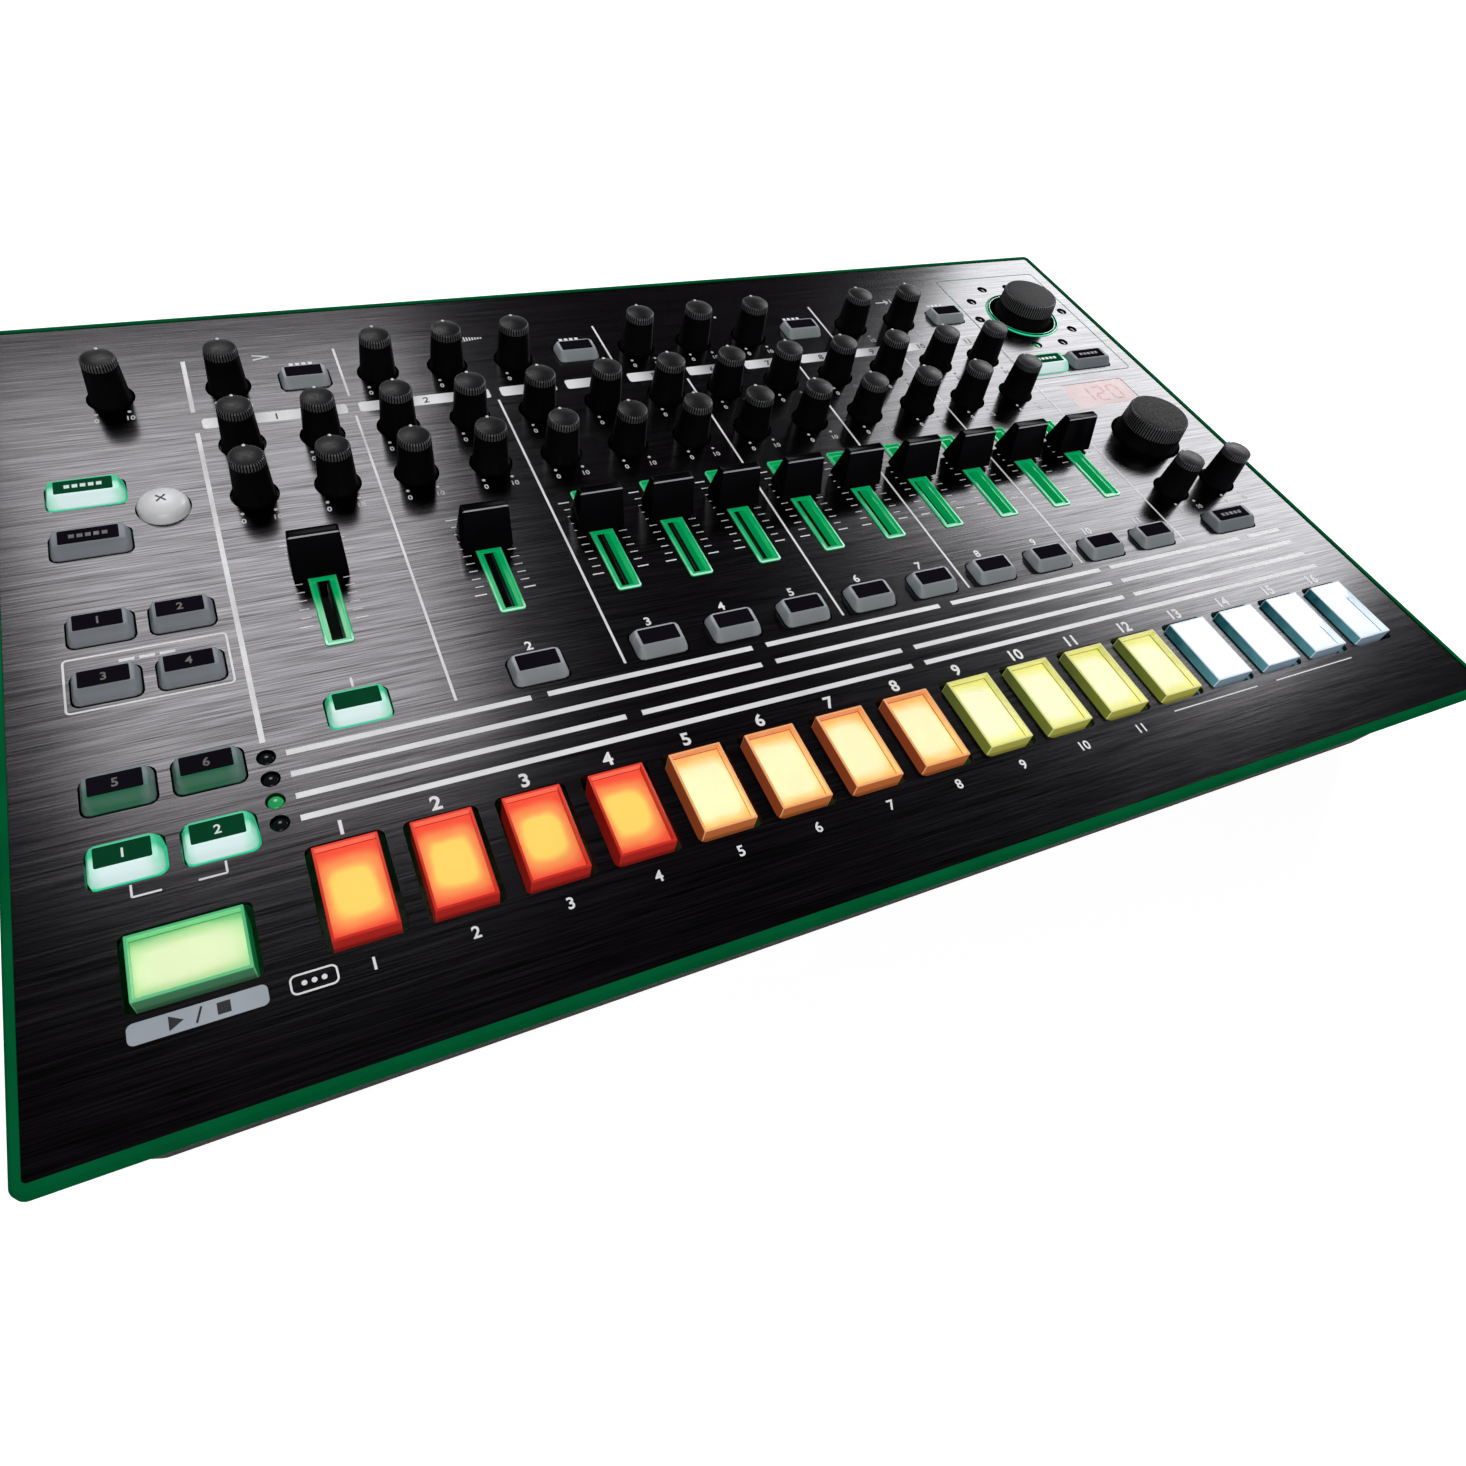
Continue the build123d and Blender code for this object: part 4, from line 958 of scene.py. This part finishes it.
# Fader caps: polished black wedges with softened edges and a pale line along the crest, each on a flat
# lever that runs in its slot, with a green plate that slides on the liner's ledges and closes it.
polished_black = plastic(
    "polished black", (0.002, 0.0015, 0.0025), 700, mottle=0.15, roughness=0.22, spread=0.04, bump=0.05,
    specular_ior_level=0.02,
)
crest_grey = plastic("crest line", (0.45, 0.47, 0.5), mottle=0.1, roughness=0.35, spread=0.05)
cap_height, cap_foot, cap_base = 12.9 * mm, (14.0 * mm, 9.4 * mm), 0.9 * mm
crest_size = (12.8 * mm, 3.0 * mm)
lever_size, slider_size = (1.9 * mm, 5.0 * mm), (5.4 * mm, 10.4 * mm)
fader_rest_s = 135.3 * mm


def is_crest(at):
    """Whether a face is the bevel along the front of the cap's crest."""
    is_front = at.y < 0.1 * mm - crest_size[1] / 2 and abs(at.x) < crest_size[0] / 2
    return is_front and at.z > cap_height - 0.45 * mm


def is_slider(at):
    """Whether a face belongs to the plate that closes the slot, and not to the lever through it."""
    is_off_lever = abs(at.x) > mm or abs(at.y) > 2.6 * mm or at.z > 0
    return -0.25 * mm < at.z < 0.2 * mm and abs(at.x) < 3 * mm and is_off_lever


cap = open_mesh("cap", polished_black, crest_grey, liner_glow)
block(*cap_foot, cap_base, cap_height)
pick("FACE", is_level(cap_height))
bpy.ops.transform.resize(
    value=(crest_size[0] / cap_foot[0], crest_size[1] / cap_foot[1], 1), center_override=(0, 0, cap_height)
)
pick("EDGE", lambda at: at.z > cap_base + mm)
bpy.ops.mesh.bevel(offset=0.4 * mm, segments=3)
pick("FACE", is_level(cap_height))
bpy.ops.mesh.inset(thickness=0.3 * mm)
bpy.ops.transform.translate(value=(0, 0, -0.12 * mm))
paint(1, is_crest)
pick("FACE", is_level(cap_base))
bpy.ops.mesh.inset(thickness=1.1 * mm)
extrude(2.5 * mm)
block(*lever_size, -9.0 * mm, cap_base + 3.0 * mm, corner=0.2 * mm)
block(*slider_size, -0.2 * mm, 0.15 * mm)
paint(2, is_slider)
close_piece(cap)
caps = repeat(cap, "fader_caps_dressed", [(x, fader_rest_s) for x in fader_xs])
finish_piece(caps, "fader_caps", "fader", "fader_caps")
drop(cap)


# Step pads and the start button: clear caps of coloured plastic over a lit diffuser. The light is warm
# and bright in the middle, and falls to the cap's own colour along the edges. The cap's rim, walls, ends
# and sides glow with that light, and their colours, face by face, are painted light and shade; the groove
# round the foot of the walls is painted shade.
glow, given, made = group_of(
    "Glow under a cap",
    {"Core": (1.0, 0.8, 0.2), "Middle": (0.9, 0.3, 0.1), "Edge": (0.8, 0.1, 0.05), "Reach": 1.0}, ["Color"],
)
where = add_node(glow, "ShaderNodeTexCoord").outputs


def combine(operation, first, second=(0, 0, 0)):
    """One vector sum of the glow's group."""
    return add_node(glow, "ShaderNodeVectorMath", {0: first, 1: second}, operation=operation).outputs


centred = combine("SUBTRACT", where["UV"], (0.48, 0.5, 0))[0]
scaled = combine("MULTIPLY", centred, (2.6, 3.6, 0))[0]
squared = combine("LENGTH", combine("MULTIPLY", scaled, scaled)[0])["Value"]
away = calculate(glow, "MULTIPLY", calculate(glow, "SQRT", squared), given["Reach"])
clouds = add_node(glow, "ShaderNodeTexNoise", {"Vector": where["Object"], "Scale": 120}).outputs["Fac"]
distance = calculate(glow, "ADD", away, remap(glow, clouds, -0.08, 0.08, 0.3, 0.7))
inner = remap(glow, distance, 0, 1, 0.75, 1.2, interpolation_type="SMOOTHSTEP")
outer = remap(glow, distance, 0, 1, 1.1, 1.7, interpolation_type="SMOOTHSTEP")
warm = mix_colors(glow, inner, given["Core"], given["Middle"])
feed(glow, made["Color"], mix_colors(glow, outer, warm, given["Edge"]))


def map_flat(piece, width, length, middle=0.0):
    """Lays the piece's UV map flat from above: 0 to 1 over its width and its length round a middle."""
    layer = piece.data.uv_layers.active or piece.data.uv_layers.new(name="flat")
    for loop in piece.data.loops:
        at = piece.data.vertices[loop.vertex_index].co
        layer.data[loop.index].uv = (at.x / width + 0.5, (at.y - middle) / length + 0.5)


cap_rise, cap_skirt, cap_edge = 2.0 * mm, 6.6 * mm, 0.22 * mm
rim_width, tray_depth, groove_depth = 0.6 * mm, 2.2 * mm, 0.3 * mm
lid_thickness, lid_sink = 0.25 * mm, 0.04 * mm


def lit_cap(name, width, length, *finishes):
    """A cap seen into from above: a lit panel down in a tray, with walls, rim, ends and sides of coloured plastic
    whose light and shade are painted.
    """
    cap = open_mesh(name, *finishes)
    block(width, length, -cap_skirt, cap_rise)
    outer_x, outer_s = width / 2 - hair, length / 2 - hair
    inner_x, inner_s = width / 2 - rim_width + hair, length / 2 - rim_width + hair
    wall_foot, wall_top = cap_rise - tray_depth + groove_depth, cap_rise - 0.1 * mm
    pick("FACE", is_level(cap_rise))
    bpy.ops.mesh.inset(thickness=rim_width)
    extrude(groove_depth - tray_depth)
    extrude(-groove_depth)

    def is_outer_edge(at):
        """Whether an edge is an upright corner of the cap or runs round its top."""
        on_side, on_end = abs(at.x) > outer_x, abs(at.y) > outer_s
        return (on_side and on_end) or (is_level(cap_rise)(at) and (on_side or on_end))

    def is_inside(at):
        """Whether a face is in the tray, its walls included."""
        return abs(at.x) < inner_x and abs(at.y) < inner_s and cap_rise - tray_depth - 0.1 * mm < at.z < wall_top

    def is_wall(at):
        """Whether a face is in the tray and above its groove."""
        return is_inside(at) and at.z > wall_foot

    pick("EDGE", is_outer_edge)
    bpy.ops.mesh.bevel(offset=cap_edge, segments=2)
    # Each part takes its own finish: the lit panel, the groove painted dark as shade, then walls, ends and sides in
    # painted light and shade.
    paint(1, lambda at: is_inside(at) and is_middle(at))
    paint(2, lambda at: is_inside(at) and at.z < wall_foot and not is_middle(at))
    paint(3, lambda at: is_wall(at) and abs(at.x) > inner_x - 0.05 * mm)
    paint(4, lambda at: is_wall(at) and abs(at.y) > inner_s - 0.05 * mm)
    paint(5, lambda at: abs(at.y) > outer_s and at.z < wall_top)
    paint(6, lambda at: abs(at.x) > outer_x and at.z < wall_top)
    close_piece(cap, angle=20)
    map_flat(cap, width - 2 * rim_width, length - 2 * rim_width)
    return cap


clear_plastic = plastic(
    "clear plastic", (0.97, 0.98, 0.98), 300, mottle=0.02, roughness=0.05, spread=0.02,
    transmission_weight=1.0, ior=1.45,
)


def clear_lid(name, width, length):
    """The clear cover of a cap's tray, let into its rim."""
    lid = open_mesh(name, clear_plastic)
    reach = 2 * (rim_width - 0.1 * mm)
    block(width - reach, length - reach, cap_rise - lid_sink - lid_thickness, cap_rise - lid_sink)
    close_piece(lid)
    return lid


def cap_finishes(name, s, length, colors):
    """The finishes of one colour of cap, in the order of its parts; the rear of a part is its far end."""
    ends = [(panel @ Vector((0, s + half * length / 2, 0))).y for half in (1, -1)]
    core, middle, edge, reach = colors["glow"]
    light = {"Core": core, "Middle": middle, "Edge": edge, "Reach": reach}
    satin = {"roughness": 0.2, "specular_ior_level": 0.2}

    def tinted(part, strength):
        """A finish that runs from the rear to the front colour of a part: its colour with painted light and shade."""
        return edge_lit(f"{name} {part}", *colors[part], strength, *ends, **satin)

    return (
        tinted("rim", 0.35), glow_finish(f"{name} glow", glow, light, 0.64, **satin), tinted("groove", 0.5),
        tinted("side walls", 0.6), tinted("end walls", 0.6), tinted("ends", 0.3), tinted("sides", 0.4),
    )


# Each colour: the light's core, middle, edge and reach, and the rear and front colours of each part, which
# paint the light and shade seen in the lit cap; the groove's dark colours are painted shade.
pad_colors = {
    "red": {
        "glow": ((1.0, 0.72, 0.15), (0.95, 0.34, 0.1), (0.87, 0.1, 0.05), 1.0),
        "rim": ((0.66, 0.05, 0.03), (0.52, 0.025, 0.015)), "groove": ((0.25, 0.006, 0.004), (0.36, 0.012, 0.008)),
        "side walls": ((0.34, 0.01, 0.006), (0.28, 0.008, 0.005)), "end walls": ((0.8, 0.17, 0.11), (0.8, 0.14, 0.08)),
        "ends": ((0.5, 0.02, 0.015), (0.5, 0.025, 0.02)), "sides": ((0.2, 0.004, 0.003), (0.32, 0.01, 0.008)),
    },
    "orange": {
        "glow": ((1.0, 0.95, 0.58), (0.97, 0.6, 0.2), (0.85, 0.3, 0.09), 0.72),
        "rim": ((0.8, 0.36, 0.16), (0.85, 0.42, 0.17)), "groove": ((0.22, 0.03, 0.01), (0.34, 0.1, 0.02)),
        "side walls": ((0.7, 0.3, 0.1), (0.9, 0.66, 0.28)), "end walls": ((0.6, 0.24, 0.12), (0.8, 0.4, 0.14)),
        "ends": ((0.6, 0.15, 0.04), (0.6, 0.17, 0.05)), "sides": ((0.3, 0.06, 0.02), (0.34, 0.07, 0.02)),
    },
    "yellow": {
        "glow": ((0.98, 0.97, 0.68), (0.86, 0.84, 0.3), (0.6, 0.6, 0.14), 0.7),
        "rim": ((0.62, 0.64, 0.24), (0.72, 0.74, 0.3)), "groove": ((0.14, 0.14, 0.02), (0.26, 0.26, 0.05)),
        "side walls": ((0.55, 0.55, 0.18), (0.85, 0.82, 0.4)), "end walls": ((0.65, 0.6, 0.24), (0.6, 0.58, 0.16)),
        "ends": ((0.46, 0.44, 0.08), (0.48, 0.46, 0.09)), "sides": ((0.12, 0.15, 0.035), (0.24, 0.28, 0.04)),
    },
    "white": {
        "glow": ((0.98, 0.99, 1.0), (0.9, 0.94, 0.97), (0.74, 0.82, 0.88), 0.75),
        "rim": ((0.5, 0.62, 0.7), (0.66, 0.76, 0.84)), "groove": ((0.1, 0.2, 0.25), (0.2, 0.3, 0.36)),
        "side walls": ((0.5, 0.6, 0.68), (0.8, 0.85, 0.9)), "end walls": ((0.7, 0.78, 0.84), (0.5, 0.6, 0.68)),
        "ends": ((0.22, 0.3, 0.38), (0.24, 0.32, 0.4)), "sides": ((0.003, 0.07, 0.085), (0.13, 0.38, 0.44)),
    },
}
start_colors = {
    "glow": ((0.84, 0.92, 0.58), (0.6, 0.8, 0.43), (0.2, 0.52, 0.22), 0.86),
    "rim": ((0.07, 0.42, 0.17), (0.13, 0.5, 0.22)), "groove": ((0.005, 0.24, 0.05), (0.005, 0.2, 0.04)),
    "side walls": ((0.1, 0.44, 0.18), (0.2, 0.58, 0.26)), "end walls": ((0.18, 0.56, 0.25), (0.08, 0.34, 0.16)),
    "ends": ((0.07, 0.22, 0.11), (0.07, 0.22, 0.11)), "sides": ((0.006, 0.16, 0.045), (0.012, 0.2, 0.06)),
}
pad_size = (13.8 * mm, 22.6 * mm)
for first, color in zip((1, 5, 9, 13), pad_colors):
    bank = f"pads_{first}_to_{first + 3}"
    spots = [(m.x, m.y) for m in pads[first - 1 : first + 3]]
    cap = lit_cap("cap", *pad_size, *cap_finishes(f"pad {color}", spots[0][1], pad_size[1], pad_colors[color]))
    lid = clear_lid("lid", *pad_size)
    finish_piece(repeat(cap, f"{bank}_dressed", spots), bank, f"pad_{color}", bank)
    finish_piece(repeat(lid, f"{bank}_lids", spots), bank, f"pad_{color}", bank)
    drop(cap)
    drop(lid)
start_size, start_place = (21.9 * mm, 14.2 * mm), (-168.05 * mm, 34.9 * mm)
start_finishes = cap_finishes("start", start_place[1], start_size[1], start_colors)
start_cap = lit_cap("start_stop_dressed", *start_size, *start_finishes)
start_lid = clear_lid("start_stop_lid", *start_size)
for piece in (start_cap, start_lid):
    lay_on_panel(piece, *start_place)
    finish_piece(piece, "start_stop_button", "start", "start_stop_button")


# Buttons: translucent satin mouldings with cut corners. The level back half holds a dark window, and
# the front rolls down to the plate. Lit ones glow mint, with green round their foot; unlit ones are
# painted near black below the plate, a painted shade in the hole.
button_rise, button_length, button_corner = 2.8 * mm, 9.4 * mm, 1.6 * mm
button_taper = math.tan(math.radians(17))
small_width, wide_width = 14.4 * mm, 18.6 * mm
foot_band, front_rise, front_reach = 0.3 * mm, 0.9 * mm, 0.35 * mm
brow = -1.95 * mm  # where the level top ends and the rolled front begins
window_size, window_s, window_raise = (10.8 * mm, 4.9 * mm), 0.75 * mm, 0.05 * mm


def satin(name, front, rim):
    """Translucent satin plastic, of one colour on its front and a lighter one round its rim, a painted highlight."""
    between = tuple((a + b) / 2 for a, b in zip(front, rim))
    colors = {"Core": front, "Middle": between, "Edge": rim, "Reach": 1.0}
    return new_finish(name, glow, colors, roughness=0.45, specular_ior_level=0.25)


# Each satin's rim colour is lighter than its front: a painted highlight.
dark_satin = satin("dark satin", (0.22, 0.245, 0.265), (0.28, 0.31, 0.34))
pale_satin = satin("pale satin", (0.3, 0.33, 0.34), (0.44, 0.48, 0.5))
green_tinted_satin = satin("green tinted satin", (0.016, 0.17, 0.08), (0.2, 0.27, 0.27))
window_black = plastic(
    "window black", (0.008, 0.006, 0.01), mottle=0.1, roughness=0.5, spread=0.04, specular_ior_level=0.0,
)
# Near black for the part of an unlit button below the plate: painted shade in the hole.
skirt_painted_shade = plastic("skirt painted shade", (0.01, 0.012, 0.012), mottle=0.1, roughness=0.5)
window_green = edge_lit("lit window", (0.003, 0.05, 0.02), (0.002, 0.03, 0.012), 0.5, specular_ior_level=0.0)
mint_glow = glow_finish(
    "lit mint", glow,
    {"Core": (0.7, 0.88, 0.86), "Middle": (0.4, 0.78, 0.62), "Edge": (0.05, 0.5, 0.26), "Reach": 1.0},
    0.38, specular_ior_level=0.1,
)
skirt_green = edge_lit("lit skirt", (0.02, 0.6, 0.3), (0.02, 0.6, 0.3), 0.8)


def push_button(name, width, body, window, skirt):
    """A button with cut corners, tapered sides, a rolled front and a window in its level back half."""
    button = open_mesh(name, body, window, skirt)
    block(width, button_length, -cap_skirt, 0, corner=button_corner, corner_segments=2)
    extrude(foot_band)
    extrude(button_rise - foot_band)
    lean = 2 * button_rise * button_taper
    bpy.ops.transform.resize(
        value=((width - lean) / width, (button_length - lean) / button_length, 1), center_override=(0, 0, button_rise)
    )
    bpy.ops.mesh.bisect(plane_co=(0, brow, 0), plane_no=(0, 1, 0))
    bpy.ops.object.mode_set(mode="OBJECT")
    for vert in button.data.vertices:
        if vert.co.z > button_rise - 0.1 * mm and vert.co.y < brow - 0.1 * mm:
            share = (brow - vert.co.y) / (button_length / 2 + brow - lean / 2)
            vert.co.z = button_rise - (button_rise - front_rise) * share ** 1.5
            vert.co.y -= front_reach * share
    bpy.ops.object.mode_set(mode="EDIT")
    pick("EDGE", lambda at: at.z > 0.8 * mm and abs(at.z - button_rise / 2) > 0.35 * mm)
    bpy.ops.mesh.bevel(offset=0.35 * mm, segments=3)
    # The skirt below the plate takes the third finish: painted shade on unlit buttons, the lit green on lit ones.
    paint(2, lambda at: at.z < 0.1 * mm)
    wide, deep = window_size[0] * width / small_width, window_size[1]
    block(
        wide, deep, button_rise - 0.3 * mm, button_rise + window_raise, corner=0.3 * mm, corner_segments=2, s=window_s
    )

    def is_window(at):
        """Whether a face is the top or a side of the window."""
        is_within = abs(at.x) < wide / 2 + hair and abs(at.y - window_s) < deep / 2 + hair
        is_side = abs(at.z - button_rise + 0.125 * mm) < 0.02 * mm
        return is_within and (at.z > button_rise + 0.02 * mm or is_side)

    paint(1, is_window)
    close_piece(button)
    map_flat(button, width, button_length, middle=-2.6 * mm)
    return button


def near(place, x, s):
    """Whether a place is this one, given in millimetres."""
    return abs(place[0] - x * mm) < mm and abs(place[1] - s * mm) < mm


round_place = (-159.4, 167.0)
bodies = [(m, size) for m, size in solids_of("function_buttons") if size.z > 8 * mm]
spots = [((m.x, m.y), size.x > 17 * mm) for m, size in bodies if not near((m.x, m.y), *round_place)]
wide_places = [place for place, is_wide in spots if is_wide]
small_places = [place for place, is_wide in spots if not is_wide]
is_lit = {
    "wide": lambda place: near(place, -177.3, 176.0) or near(place, 154.2, 180.3),
    "small": lambda place: abs(place[1] - 59.8 * mm) < mm,
    "voice": lambda place: near(place, column_x(0.5) / mm, select_row_s / mm),
}
voice_places = [(x, select_row_s) for x in fader_xs]
step_places = [(column_x(column), upper_row_s) for column in step_columns]
tinted_places = [place for place in small_places if abs(place[1] - 77.7 * mm) < mm]
small_places = [place for place in small_places if place not in tinted_places]
for name, body, places, width, unlit, lit in (
    ("wide_buttons", "function_buttons", wide_places, wide_width, dark_satin, is_lit["wide"]),
    ("pair_buttons", "function_buttons", small_places, small_width, dark_satin, is_lit["small"]),
    ("tinted_buttons", "function_buttons", tinted_places, small_width, green_tinted_satin, lambda place: False),
    ("voice_buttons", "voice_buttons", voice_places, small_width, pale_satin, is_lit["voice"]),
    ("step_assign_buttons", "step_assign_buttons", step_places, small_width, pale_satin, lambda place: False),
):
    for prefix, wanted, finishes in (
        ("plain", False, (unlit, window_black, skirt_painted_shade)), ("lit", True, (mint_glow, window_green, skirt_green)),
    ):
        chosen = [place for place in places if lit(place) == wanted]
        if chosen:
            button = push_button("button", width, *finishes)
            dressed = repeat(button, f"{prefix}_{name}", chosen)
            finish_piece(dressed, body, "button", body)
            drop(button)

# The round white button: a low dome.
round_radius, round_rise, round_wall, rings = 6.45 * mm, 3.4 * mm, 0.9 * mm, 8
round_white = plastic("white satin", (0.86, 0.87, 0.88), mottle=0.06, roughness=0.35, spread=0.06, bump=0.1)
dome = open_mesh("round_button", round_white)
bpy.ops.mesh.primitive_cylinder_add(
    vertices=64, radius=round_radius, depth=cap_skirt + round_wall, location=(0, 0, (round_wall - cap_skirt) / 2)
)
pick("FACE", is_level(round_wall))
for i in range(rings):
    flat, next_flat = 1 - i / rings, 1 - (i + 1) / rings
    step_up = (round_rise - round_wall) * (math.sqrt(1 - next_flat ** 2) - math.sqrt(1 - flat ** 2))
    bpy.ops.mesh.inset(thickness=round_radius / rings * (1 if i < rings - 1 else 0.7))
    bpy.ops.transform.translate(value=(0, 0, step_up))
close_piece(dome, angle=50)
round_x, round_s = round_place[0] * mm, round_place[1] * mm
lay_on_panel(dome, round_x, round_s)
finish_piece(dome, "function_buttons", "button", "function_buttons")

# Marks on the buttons: a cross on the round one, and plain figures or a row of dashes in the windows.
# The lit pair is numbered from 1 again.
cross = open_mesh("round_button_cross")
for turn in (-1, 1):
    ink_bar(round_x, round_s, 3.2 * mm, 0.5 * mm, turn=turn * math.pi / 4, base=round_rise - 0.04 * mm)
lay_print(cross, "function_buttons", "button", black_ink)
mark_grey = ink_finish("grey mark", (0.12, 0.12, 0.125))
mark_lit = ink_finish("lit mark", (0.8, 0.95, 0.9))
mark_base = button_rise + window_raise
numbered = sorted(small_places + tinted_places, key=lambda place: (-place[1], place[0]))
for name, finish, wanted, first in (("button_marks", mark_grey, False, 1), ("lit_button_marks", mark_lit, True, -5)):
    marks = open_mesh(name)
    for x, s in wide_places:
        if is_lit["wide"]((x, s)) == wanted:
            for i in range(5):
                ink_bar(x + (i - 2) * 1.9 * mm, s + window_s, 1.3 * mm, 1.3 * mm, base=mark_base)
    figures = []
    for number, (x, s) in enumerate(numbered, start=first):
        if is_lit["small"]((x, s)) == wanted:
            figures.append(ink_figures(str(number), x, s + window_s, 2.3 * mm, weight=0.06 * mm, base=mark_base))
    join(marks, figures)
    lay_print(marks, "function_buttons", "button", finish)


# Display: a pale rose window of clear plastic, let in level with the plate, with unlit digit strokes
# in its surface.
coat(frame["nodes"]["display_window"], plastic(
    "rose window", (0.86, 0.66, 0.66), 300, mottle=0.05, roughness=0.3, spread=0.03, specular_ior_level=0.1,
))
strokes = {"1": "bc", "2": "abged", "0": "abcdef"}
stroke_width, stroke_gap, stroke_base = 0.8 * mm, 1.1 * mm, -0.1 * mm
digit_width, digit_height, digit_pitch = 4.4 * mm, 8.0 * mm, 7.2 * mm
window_middle = max(solids_of("display_window"), key=lambda solid: solid[0].z)[0]
digits = open_mesh("display_digits")
for place, figure in enumerate("120"):
    x, s = window_middle.x + (place - 1) * digit_pitch, window_middle.y
    for stroke in strokes[figure]:
        if stroke in "adg":
            level = {"a": 1, "d": -1, "g": 0}[stroke]
            bar = x, s + level * digit_height / 2, digit_width - stroke_gap, stroke_width
        else:
            side, half = 1 if stroke in "bc" else -1, 1 if stroke in "bf" else -1
            bar = x + side * digit_width / 2, s + half * digit_height / 4, stroke_width, digit_height / 2 - stroke_gap
        ink_bar(*bar, base=stroke_base)
lay_print(digits, "chassis", "window", ink_finish("unlit stroke", (0.86, 0.5, 0.48)))
